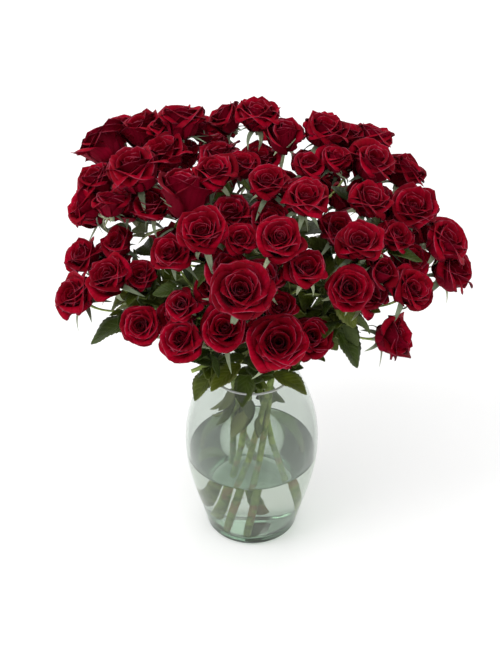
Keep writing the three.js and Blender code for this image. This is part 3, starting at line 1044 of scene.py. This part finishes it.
CANE_STEPS = 60  # between two of the points that a cane's line passes through
CUT_SHOOT_STEM = "left_low_front"  # this stem has a side shoot that was cut off short
CUT_SHOOT_END = (-61.0, -32.0, 20.0)  # millimetres from the middle of the vase's mouth
BRANCH_LEAVES = (0.2, 0.35, 0.5, 0.66)  # shares of a branch's length where its leaves grow
CANE_LEAVES = (0.15, 0.3, 0.5, 0.7, 0.95)  # and of the cane's last span, up to the fork
JAR_LEAVES, NECK_LEAVES = 2, 6  # blades on each cane below and above the jar's mouth


@dataclass
class Spray:
    """One stem: its cane through the vase, its side branches, leaves and roses."""

    name: str
    heads: list[RoseHead]
    cane_radius: float = 2.8 * MM
    branch_radius: float = 1.25 * MM
    stalk_radius: float = 0.55 * MM
    waist_height: float = 0.72  # share of the vase's height where the canes cross closest
    fork_reach: float = 0.45  # how far the fork is on the way from the mouth to the heads
    fork_lift: float = 20 * MM
    set_off: float = 0.3  # how far a branch keeps the cane's heading, as a share of its reach
    arrive: float = 0.4  # and how far it comes in along the head's axis
    leaf_seats: list[tuple[np.ndarray, np.ndarray]] = field(default_factory=list)
    extra: list[RoseHead] = field(default_factory=list)
    gap_leaves: list[np.ndarray] = field(default_factory=list)

    def __post_init__(self) -> None:
        """Reads the cane's line and the leaves' places from the CAD solid."""
        triangles = triangles_of(f"stem_{self.name}")
        points = np.unique(np.round(triangles.reshape(-1, 3), 6), axis=0)
        waist = self.waist_height * MOUTH[2]
        cane = points[points[:, 2] < waist]
        way = unit(cane[cane[:, 2].argmax()] - cane[cane[:, 2].argmin()])
        along = cane @ way
        order = np.argsort(along)
        rings = np.split(cane[order], np.nonzero(np.diff(along[order]) > 5 * MM)[0] + 1)
        middles = [ring.mean(0) for ring in rings if len(ring) >= 6]
        foot, direction = middles[0], unit(middles[-1] - middles[0])
        heights = (0.5 * MOUTH[2], waist, MOUTH[2])
        knots = [foot + direction * (z - foot[2]) / direction[2] for z in heights]
        flowers = np.mean([head.base for head in self.heads], axis=0)
        self.fork = MOUTH + self.fork_reach * (flowers - MOUTH) + self.fork_lift * UP
        self.line = rounded_line(np.array([foot, *knots, self.fork]), CANE_STEPS)
        self.heading = unit(self.line[-1] - self.line[-2])
        self.leaf_seats = self.read_leaves(triangles[triangles[..., 2].min(1) > waist])

    def read_leaves(self, triangles: np.ndarray) -> list[tuple[np.ndarray, np.ndarray]]:
        """Finds the flat leaf blades among a stem's triangles.

        Args:
            triangles: the stem's triangles above its cane.

        Returns:
            The root and the tip of each blade.
        """
        cross = np.cross(triangles[:, 1] - triangles[:, 0], triangles[:, 2] - triangles[:, 0])
        area, normal = np.linalg.norm(cross, axis=1) / 2, unit(cross)
        level = np.einsum("ij,ij->i", normal, triangles[:, 0])
        free = (normal[:, 2] > 0.2) & (area > 4 * MM**2)
        seats = []
        for i in np.argsort(-area):
            same = free & (normal @ normal[i] > 0.9995) & (np.abs(level - level[i]) < 0.1 * MM)
            if not free[i] or area[same].sum() < 90 * MM**2:
                continue
            free &= ~same
            corners = triangles[same].reshape(-1, 3)
            spread = np.linalg.svd(corners - corners.mean(0), compute_uv=False) / math.sqrt(len(corners))
            if spread[1] < 3 * MM:
                continue
            gap = np.linalg.norm(corners[:, None] - self.line[None], axis=-1).min(1)
            root = corners[gap.argmin()]
            seats.append((root, corners[np.linalg.norm(corners - root, axis=1).argmax()]))
        return seats

    def branch(self, head: RoseHead) -> np.ndarray:
        """The line of the side branch that carries a head."""
        reach = np.linalg.norm(head.base - self.fork)
        off = self.fork + self.heading * self.set_off * reach
        on = head.base - head.axis * self.arrive * reach
        return bezier(self.fork, off, on, head.base - head.axis * 0.3 * MM, np.linspace(0, 1, 40))

    def build_wood(self, finishes: Finishes) -> bpy.types.Object:
        """Builds the cane, its thorns and its branches as one piece."""
        dice = random_of(self.name + "_wood")
        skin = Skin()
        length = np.concatenate([[0], np.cumsum(np.linalg.norm(np.diff(self.line, axis=0), axis=1))])
        share = length / length[-1]
        radius = self.cane_radius * (1.34 - 0.42 * share)
        scar = np.zeros(len(length))
        place = dice.uniform(10, 20) * MM
        while place < length[-1] - 8 * MM:
            near = np.exp(-(((length - place) / (1.8 * MM)) ** 2))
            radius = radius + 0.4 * MM * near
            scar = np.maximum(scar, 0.12 * near)
            self.add_thorn(skin, int(np.searchsorted(length, place + dice.uniform(6, 12) * MM)), dice)
            place += dice.uniform(26, 42) * MM
        radius[:3] *= np.array([0.6, 0.9, 1.0])
        add_tube(skin, self.line, radius, 12, along=share, tone=dice.uniform(0.3, 0.8), scar=scar)
        if self.name == CUT_SHOOT_STEM:
            end = at(CUT_SHOOT_END)
            line = straight(self.line[np.linalg.norm(self.line - end, axis=1).argmin()], end, 30)
            t = np.linspace(0, 1, len(line))
            girth = 2.1 * MM + 0.5 * MM * np.exp(-(((t - 0.75) / 0.06) ** 2))
            add_tube(skin, line, girth, 12, along=1.0, tone=0.9, scar=0.3 * (t > 0.97))
        for head in self.heads + self.extra:
            line = self.branch(head)
            t = np.linspace(0, 1, len(line))
            girth = self.branch_radius * (1.35 - 0.45 * smooth(t * 1.4) + 0.25 * smooth((t - 0.9) / 0.1))
            joint = np.exp(-(((t - dice.uniform(0.35, 0.6)) / 0.03) ** 2))
            girth, tone = girth + 0.35 * MM * joint, dice.uniform(0.5, 1.0)
            add_tube(skin, line, girth, 9, along=t, tone=tone, scar=0.5 * joint)
        stem = f"stem_{self.name}"
        return make_piece(skin, f"{stem}_wood", finishes.stem, (stem,))

    def add_thorn(self, skin: Skin, index: int, dice: np.random.Generator) -> None:
        """Adds a hooked thorn to the cane at one of its line's points."""
        index = min(index, len(self.line) - 2)
        way = unit(self.line[index + 1] - self.line[index])
        first, second, _ = axes_along(way)
        turn = dice.uniform(0, 2 * math.pi)
        out = first * math.cos(turn) + second * math.sin(turn)
        size = dice.uniform(2.4, 4.2) * MM
        root = self.line[index] + out * 0.8 * self.cane_radius
        t = np.linspace(0, 1, 7)
        line = root + out * (size * t)[:, None] - way * (0.35 * size * t**2)[:, None]
        girth = 0.36 * size * (1 - t) ** 1.3 + 0.08 * MM
        add_tube(skin, line, girth, 7, along=t, tone=0.5, scar=0.4 + 0.6 * t)

    def add_branch_leaf(
        self, skin: Skin, line: np.ndarray, share: float, crowd: Crowd, dice: np.random.Generator
    ) -> None:
        """Adds a small leaf of three blades where a side branch has room for it.

        Args:
            skin: the skin that it joins.
            line: the branch's line.
            share: how far along the branch it grows.
            crowd: the heads that it keeps clear of.
            dice: the stem's random numbers.
        """
        at = int(share * (len(line) - 2))
        way = unit(line[at + 1] - line[at])
        first, second, _ = axes_along(way)
        for _ in range(10):
            turn = dice.uniform(0, 2 * math.pi)
            aim = unit(way * dice.uniform(0.1, 0.7) + first * math.cos(turn) + second * math.sin(turn))
            size, reach = dice.uniform(22, 38) * MM, dice.uniform(9, 22) * MM
            root = line[at] + aim * reach
            if self.add_three_blades(skin, line[at], root, aim, size, UP, crowd, dice):
                return

    @staticmethod
    def add_three_blades(
        skin: Skin, start: np.ndarray, root: np.ndarray, aim: np.ndarray, size: float, up: np.ndarray,
        crowd: Crowd, dice: np.random.Generator,
    ) -> bool:
        """Adds a leaf of three blades on its stalk, if it has room.

        Args:
            skin: the skin that it joins.
            start: where its stalk leaves the wood.
            root: where its end blade starts.
            aim: which way it points.
            size: the length of its end blade.
            up: which way its upper face looks, more or less.
            crowd: the heads that it keeps clear of.
            dice: the stem's random numbers.

        Returns:
            Whether it was added.
        """
        blades = three_blades(root, aim, size, dice)
        if not crowd.clear(np.array([r + a * n * t for r, a, n in blades for t in (0.35, 0.7, 1.0)])):
            return False
        add_stalk(skin, straight(start, root + aim * MM, 8), Spray.stalk_radius)
        for base, way, length in blades:
            Leaflet(base, base + way * length, unit(up + 0.5 * dice.normal(size=3)), teeth=8).add(skin, dice)
        return True

    def add_gap_leaf(self, skin: Skin, middle: np.ndarray, crowd: Crowd, dice: np.random.Generator) -> None:
        """Adds a leaf of three blades round a chosen place, on a stalk from the nearest branch."""
        wood = np.vstack([self.branch(head) for head in self.heads + self.extra] + [self.line[-CANE_STEPS:]])
        start = wood[np.linalg.norm(wood - middle, axis=1).argmin()]
        up = unit(middle - HEART)
        for attempt in range(30):
            aim = unit(unit(middle - start) + 0.06 * attempt * dice.normal(size=3))
            size = (36 - 0.5 * attempt) * MM
            if self.add_three_blades(skin, start, middle - 0.5 * size * aim, aim, size, up, crowd, dice):
                return
        aim = unit(np.cross(up, dice.normal(size=3)))  # no room for three, so one that lies in the gap
        root, tip = middle - 15 * MM * aim, middle + 15 * MM * aim
        add_stalk(skin, straight(start, root + aim * MM, 8), self.stalk_radius)
        Leaflet(root, tip, unit(up + 0.3 * dice.normal(size=3)), width_share=0.7, teeth=8).add(skin, dice)

    def add_jar_leaf(self, skin: Skin, dice: np.random.Generator) -> None:
        """Adds a blade that was tucked down inside the jar, above the water."""
        start = self.line[np.abs(self.line[:, 2] - dice.uniform(0.72, 0.97) * MOUTH[2]).argmin()]
        out = unit(start * np.array([1, 1, 0]))
        aim = unit(0.5 * out - UP + 0.25 * dice.normal(size=3))
        tip = start + aim * dice.uniform(26, 42) * MM
        Leaflet(start + out * self.cane_radius * 0.8, tip, -out, width_share=0.42).add(skin, dice)

    def add_neck_leaf(self, skin: Skin, crowd: Crowd, dice: np.random.Generator) -> None:
        """Adds a blade that grows from the cane just above the jar's mouth, where it has room."""
        for _ in range(12):
            start = self.line[np.abs(self.line[:, 2] - MOUTH[2] - dice.uniform(4, 40) * MM).argmin()]
            out = unit(start * np.array([1, 1, 0]) + 0.5 * dice.normal(size=3) * self.cane_radius)
            aim = unit(out + dice.uniform(0.0, 1.2) * UP + 0.35 * dice.normal(size=3))
            root, tip = start + aim * dice.uniform(4, 9) * MM, start + aim * dice.uniform(32, 50) * MM
            if crowd.clear(np.array([root, (root + tip) / 2, tip])):
                add_stalk(skin, straight(start, root + aim * MM, 5), 0.7 * MM)
                Leaflet(root, tip, unit(UP + 0.4 * dice.normal(size=3))).add(skin, dice)
                return

    def add_seated_leaf(
        self, skin: Skin, root: np.ndarray, tip: np.ndarray, dice: np.random.Generator
    ) -> None:
        """Adds the five blades of a leaf whose end blade stands where the CAD has one.

        Args:
            skin: the skin that it joins.
            root: where the end blade starts.
            tip: where it ends.
            dice: the stem's random numbers.
        """
        along = unit(tip - root)
        Leaflet(root, tip, unit(np.cross(along, unit(np.cross(UP, along))))).add(skin, dice)
        near = np.linalg.norm(self.line - root, axis=1).argmin()
        start, heading = self.line[near], unit(self.line[near] - self.line[near - 1])
        reach = np.linalg.norm(root - start)
        off, on = start + heading * self.set_off * reach, root - along * self.arrive * reach
        stalk = bezier(start, off, on, root + along * MM, np.linspace(0, 1, 24))
        add_stalk(skin, stalk, np.linspace(1.0, 0.55, len(stalk)) * MM, 7)
        for share in (0.6, 0.85):
            joint = int(share * (len(stalk) - 1))
            way = unit(stalk[joint] - stalk[joint - 2])
            across = unit(np.cross(UP, way))
            for sign in (-1, 1):
                size = np.linalg.norm(tip - root) * dice.uniform(0.5, 0.75)
                aim = unit(way * 0.55 + sign * across + UP * dice.uniform(-0.2, 0.2))
                Leaflet(stalk[joint], stalk[joint] + aim * size, UP).add(skin, dice)

    def build_leaves(self, finishes: Finishes, crowd: Crowd) -> bpy.types.Object:
        """Builds the stem's leaves and their stalks as one piece, clear of the crowd of heads."""
        dice = random_of(self.name + "_leaves")
        skin = Skin()
        for root, tip in self.leaf_seats:
            self.add_seated_leaf(skin, root, tip, dice)
        for head in self.heads + self.extra:
            line = self.branch(head)
            for share in BRANCH_LEAVES:
                self.add_branch_leaf(skin, line, share + dice.uniform(-0.05, 0.05), crowd, dice)
        above = self.line[-CANE_STEPS:]
        for share in CANE_LEAVES:
            self.add_branch_leaf(skin, above, share, crowd, dice)
        for middle in self.gap_leaves:
            self.add_gap_leaf(skin, middle, crowd, dice)
        for _ in range(JAR_LEAVES):
            self.add_jar_leaf(skin, dice)
        for _ in range(NECK_LEAVES):
            self.add_neck_leaf(skin, crowd, dice)
        stem = f"stem_{self.name}"
        return make_piece(skin, f"{stem}_leaves", finishes.leaf, (stem,))

    def build(self, finishes: Finishes, crowd: Crowd) -> None:
        """Builds the stem and every rose on it."""
        self.build_wood(finishes)
        self.build_leaves(finishes, crowd)
        for head in self.heads + self.extra:
            head.build_petals(finishes)
            head.build_calyx(finishes)


# Small roses that nestle between the larger ones: place in millimetres from the middle of the vase's
# mouth, width in millimetres, and stage.
NESTLED = (
    ((-135, 125, 205), 34, Stage.CUP), ((-90, 85, 230), 24, Stage.CUP), ((-50, 90, 225), 22, Stage.BUD),
    ((95, 90, 220), 28, Stage.CUP), ((55, 30, 220), 29, Stage.CUP), ((80, 35, 225), 29, Stage.CUP),
    ((-10, 30, 220), 31, Stage.CUP), ((135, -15, 170), 34, Stage.CUP), ((-130, 10, 145), 31, Stage.CUP),
    ((-105, -25, 130), 29, Stage.CUP), ((-65, -80, 135), 30, Stage.CUP), ((-10, -60, 195), 30, Stage.CUP),
    ((25, -75, 130), 34, Stage.OPEN), ((-160, 75, 140), 42, Stage.OPEN), ((-130, 125, 115), 42, Stage.CUP),
    ((-65, 160, 120), 46, Stage.OPEN), ((70, 160, 125), 46, Stage.OPEN), ((135, 120, 125), 42, Stage.OPEN),
    ((175, 60, 125), 40, Stage.CUP), ((-85, 115, 80), 40, Stage.CUP), ((-15, 125, 85), 42, Stage.OPEN),
)

# Gaps between the heads that no deeper rose closes: places in millimetres from the middle of the mouth.
OPEN_GAPS = (
    (85, -60, 95), (-85, -50, 135), (-85, -20, 180), (-125, -40, 100), (55, -45, 185), (80, 40, 200),
    (-145, 45, 135), (-55, -60, 155), (160, 30, 135), (-15, 80, 210),
)

# Leaves that show in the gaps between the heads: places in millimetres from the middle of the mouth.
GAP_LEAVES = (
    (-110, 70, 125), (-90, 60, 120), (-105, 90, 120), (-120, 50, 125), (-105, 45, 115), (-90, 20, 125),
    (-105, 85, 105), (-125, -30, 105), (-90, -20, 110), (-45, -60, 155), (-5, 40, 175), (10, -60, 170),
    (45, 40, 145), (75, 30, 130), (90, 80, 160), (90, -60, 115), (145, 40, 105),
)


@dataclass
class Bouquet:
    """The twelve sprays, and the small roses shared out among them."""

    sprays: list[Spray] = field(default_factory=list)
    deep_span: float = 88 * MM  # how near each other three heads are that have a deep rose below
    deep_drop: float = 24 * MM
    deep_width: float = 36 * MM
    deep_apart: float = 0.86  # the least distance between it and another head, as a share of touching
    deep_fineness: int = 9
    gap_room: float = 20 * MM  # how far deep roses keep from an open gap

    def __post_init__(self) -> None:
        """Reads the sprays from the frame and gives each nestled rose to the nearest fork."""
        stems = sorted(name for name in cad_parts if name.startswith("stem_"))
        for stem in stems:
            name = stem.removeprefix("stem_")
            nodes = sorted(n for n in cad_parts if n.startswith("rose_") and spray_of(n) == name)
            self.sprays.append(Spray(name, [RoseHead.read(node) for node in nodes]))
        for place, width, stage in NESTLED:
            self.give(at(place), width * MM, stage, "small")
        for middle in at(GAP_LEAVES):
            self.nearest(middle).gap_leaves.append(middle)
        self.crowd = Crowd()
        for spray in self.sprays:
            for head in spray.heads + spray.extra:
                self.crowd.add(head)
        self.add_deep_roses()

    def nearest(self, place: np.ndarray) -> Spray:
        """The spray whose fork is nearest to a place."""
        return min(self.sprays, key=lambda spray: np.linalg.norm(spray.fork - place))

    def give(
        self, middle: np.ndarray, width: float, stage: Stage, kind: str, fineness: int = RoseHead.fineness
    ) -> None:
        """Gives the nearest spray one more rose.

        Args:
            middle: the place of the rose's middle.
            width: its width.
            stage: how far it has opened.
            kind: the word that tells it from the spray's other roses.
            fineness: how many rows and columns of points its petals have.
        """
        axis = unit(middle - HEART)
        base = middle - axis * 0.5 * HABITS[stage].tall * width
        spray = self.nearest(base)
        name = f"rose_{spray.name}_{kind}_{len(spray.extra) + 1}"
        spray.extra.append(RoseHead(name, base, axis, width, stage, fineness=fineness))

    def add_deep_roses(self) -> None:
        """Adds roses half hidden under the gaps between each three neighbouring heads."""
        middles = np.array(self.crowd.middles)
        near = np.linalg.norm(middles[:, None] - middles[None], axis=-1) < self.deep_span
        for i, j, k in itertools.combinations(range(len(middles)), 3):
            if not (near[i, j] and near[j, k] and near[i, k]):
                continue
            gap = middles[[i, j, k]].mean(0)
            place = gap + unit(HEART - gap) * self.deep_drop
            if (np.linalg.norm(at(OPEN_GAPS) - place, axis=1) < self.gap_room).any():
                continue
            apart = np.linalg.norm(np.array(self.crowd.middles) - place, axis=1)
            if (apart > self.deep_apart * (np.array(self.crowd.radii) + 0.5 * self.deep_width)).all():
                self.give(place, self.deep_width, Stage.CUP, "deep", self.deep_fineness)
                self.crowd.middles.append(place)
                self.crowd.radii.append(0.5 * self.deep_width)

    def build(self, finishes: Finishes) -> None:
        """Builds every spray."""
        for spray in self.sprays:
            spray.build(finishes, self.crowd)


# ---- Vase and water ------------------------------------------------------------------------------


@dataclass
class Vase:
    """A blown ginger jar with a thick, slightly dished foot and a fire-polished rim."""

    height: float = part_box("vase")[1].z
    belly_radius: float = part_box("vase")[1].x
    belly_height: float = 112 * MM
    mouth_radius: float = 43.5 * MM
    foot_radius: float = 49 * MM
    foot_corner: float = 5 * MM
    wall: float = 2.6 * MM
    floor: float = 9 * MM
    floor_corner: float = 6 * MM
    foot_ring: float = 6 * MM  # how wide the ring is that it stands on
    dish: float = 1.6 * MM  # how high the middle of the foot stands over that ring
    crown: float = 0.8 * MM  # how much the floor rises to its middle
    water_level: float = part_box("water")[1].z
    meniscus: float = 1.4 * MM  # how high the water climbs at the glass
    meniscus_reach: float = 1.3 * MM
    wetting: float = 0.15 * MM  # how far it goes into the glass, so that no air shows between them
    sides: int = 144

    def wall_radius(self, z: np.ndarray) -> np.ndarray:
        """Outer radius at a height, without the foot's rounding."""
        low = np.sin(math.pi / 2 * np.clip(z / self.belly_height, 0, 1)) ** 1.25
        shoulder = np.clip((z - self.belly_height) / (self.height - self.belly_height), 0, 1.1) ** 1.1
        under = self.foot_radius + (self.belly_radius - self.foot_radius) * low
        over = self.mouth_radius + (self.belly_radius - self.mouth_radius) * np.cos(math.pi / 2 * shoulder)
        return np.where(z < self.belly_height, under, over)

    def bore_radius(self, z: np.ndarray) -> np.ndarray:
        """Inner radius at a height, rounded into the floor."""
        slope = (self.wall_radius(z + 0.5 * MM) - self.wall_radius(z - 0.5 * MM)) / MM
        rounding = self.inset(z - self.floor, self.floor_corner)
        return self.wall_radius(z) - self.wall * np.hypot(1, slope) - rounding

    @staticmethod
    def inset(above: np.ndarray, corner: float) -> np.ndarray:
        """How far a rounded corner draws in at a height above its lower edge."""
        left = 1 - np.clip(above / corner, 0, 1)
        return corner * (1 - np.sqrt(1 - left**2))

    def floor_line(self, radius: float, height: float) -> np.ndarray:
        """The line of the crowned floor, out from its middle, at a radius and a height of its edge."""
        out = radius * np.linspace(0, 1, 12)[1:-1]
        return np.stack([out, height + self.crown * (1 - (out / radius) ** 2)], -1)

    def build_glass(self, finishes: Finishes) -> None:
        """Builds the glass, whose rounded lip is hazier and whiter, a painted highlight along the rim."""
        rim = self.wall / 2
        grow = np.linspace(0, 1, 70) ** 1.6
        outer_z = grow * (self.height - rim)
        outer_r = self.wall_radius(outer_z) - self.inset(outer_z, self.foot_corner)
        inner_z = (self.floor + grow * (self.height - rim - self.floor))[::-1]
        inner_r = self.bore_radius(inner_z)
        share = np.linspace(0, 1, 12)[1:-1]
        rise = self.dish * (1 - smooth((share - 0.6) / 0.4))
        turn = math.pi * share
        lip_r = (outer_r[-1] + inner_r[0]) / 2
        lip_z = self.height - rim + rim * np.sin(turn)
        lip = np.stack([lip_r + (outer_r[-1] - lip_r) * np.cos(turn), lip_z], -1)
        outline = np.vstack([
            [[0, self.dish]],
            np.stack([share * (outer_r[0] - self.foot_ring), rise], -1),
            np.stack([outer_r, outer_z], -1),
            lip,
            np.stack([inner_r, inner_z], -1),
            self.floor_line(inner_r[-1], self.floor)[::-1],
            [[0, self.floor + self.crown]],
        ])
        skin = Skin()
        add_turned(skin, outline, self.sides)
        jar = make_piece(skin, "vase_glass_jar", finishes.glass, ("vase",))
        # The lip's faces take the hazier, whiter finish, a painted highlight.
        jar.data.materials.append(finishes.lip)
        for polygon in jar.data.polygons:
            polygon.material_index = int(polygon.center.z > self.height - rim)

    def build_water(self, finishes: Finishes) -> None:
        """Builds the water, which wets the glass and climbs a little at its edge; its top is partly matt
        grey-green, a painted reflection.
        """
        bottom = self.floor - self.wetting
        z = bottom + np.linspace(0, 1, 60) ** 1.4 * (self.water_level + self.meniscus - self.floor)
        wet = self.bore_radius(np.maximum(z, self.floor)) + self.wetting
        top_r = wet[-1] - np.array([0.5, 1.0, 1.7, 2.6, 4.0, 6.0, 12.0, 25.0, 40.0]) * MM
        top_z = self.water_level + self.meniscus * np.exp(-(wet[-1] - top_r) / self.meniscus_reach)
        outline = np.vstack([
            [[0, bottom + self.crown]],
            self.floor_line(wet[0], bottom),
            np.stack([wet, z], -1),
            np.stack([top_r, top_z], -1),
            [[0, self.water_level]],
        ])
        skin = Skin()
        add_turned(skin, outline, self.sides)
        water = make_piece(skin, "vase_water", finishes.water, ("water",))
        # The top surface takes the partly matt grey-green finish, a painted reflection.
        water.data.materials.append(finishes.water_top_painted_reflection)
        for polygon in water.data.polygons:
            polygon.material_index = int(polygon.normal.z > 0.3 and polygon.center.z > self.water_level - MM)


# ---- Studio --------------------------------------------------------------------------------------


@dataclass(frozen=True)
class Lamp:
    """A square soft light that points at the bouquet."""

    name: str
    place: Place
    size: float
    power: float

    def build(self) -> None:
        """Places the light."""
        data = bpy.data.lights.new(self.name, "AREA")
        data.size, data.energy = self.size, self.power
        light = bpy.data.objects.new(self.name, data)
        light.location = Vector(self.place)
        light.rotation_euler = (Vector(MOUTH) - Vector(self.place)).to_track_quat("-Z", "Y").to_euler()
        bpy.context.scene.collection.objects.link(light)


@dataclass
class Studio:
    """The camera, the soft lights and the pale floor."""

    elevation: float = 38.0  # degrees above the horizon
    distance: float = 1.6
    lens: float = 83.8
    aim: Place = (-2.0, 21.6, 27.6)  # millimetres from the mouth's middle
    floor_size: float = 14.0
    floor_tone: float = 0.85
    floor_glow: float = 0.15
    sky_glow: float = 0.9
    lamps: tuple[Lamp, ...] = (
        Lamp("key_light", (-1.3, -0.7, 2.5), size=1.3, power=30),
        Lamp("fill_light", (1.8, -1.2, 1.5), size=1.6, power=7),
        Lamp("back_light", (0.4, 1.9, 1.9), size=1.6, power=10),
    )

    def place_camera(self) -> None:
        """Places the camera in front of the bouquet, looking down on it."""
        e = math.radians(self.elevation)
        place = Vector(MOUTH) + self.distance * Vector((0, -math.cos(e), math.sin(e)))
        target = Vector(MOUTH) + Vector(self.aim) * MM
        data = bpy.data.cameras.new("camera")
        data.lens = self.lens
        camera = bpy.data.objects.new("camera", data)
        camera.location = place
        camera.rotation_euler = (target - place).to_track_quat("-Z", "Y").to_euler()
        bpy.context.scene.collection.objects.link(camera)
        bpy.context.scene.camera = camera

    def lay_floor(self) -> None:
        """Lays the pale floor."""
        half = self.floor_size / 2
        corners = [(-half, -half, 0), (half, -half, 0), (half, half, 0), (-half, half, 0)]
        mesh = bpy.data.meshes.new("studio_floor")
        mesh.from_pydata(corners, [], [(0, 1, 2, 3)])
        floor = bpy.data.objects.new("studio_floor", mesh)
        material, sketch, surface, _ = principled("pale_floor")
        sketch.feed(surface, {
            "Base Color": colour((self.floor_tone,) * 3),
            "Roughness": 0.8,
            "Emission Color": colour((1.0, 1.0, 1.0)),
            "Emission Strength": self.floor_glow,
        })
        mesh.materials.append(material)
        bpy.context.scene.collection.objects.link(floor)

    def build(self) -> None:
        """Sets up the whole studio."""
        self.place_camera()
        for lamp in self.lamps:
            lamp.build()
        world = bpy.data.worlds.new("studio_world")
        world.use_nodes = True
        background = world.node_tree.nodes["Background"]
        background.inputs["Color"].default_value = colour((1.0, 1.0, 1.0))
        background.inputs["Strength"].default_value = self.sky_glow
        bpy.context.scene.world = world
        bpy.context.scene.view_settings.view_transform = "Standard"
        self.lay_floor()


def main() -> None:
    """Builds the studio, the vase and the bouquet, and notes the visual model's size."""
    logging.basicConfig(level=logging.INFO, format="%(levelname)s: %(message)s")
    Studio().build()
    finishes = Finishes()
    vase = Vase()
    vase.build_glass(finishes)
    vase.build_water(finishes)
    Bouquet().build(finishes)
    bpy.context.view_layer.update()


if __name__ == "__main__":
    main()
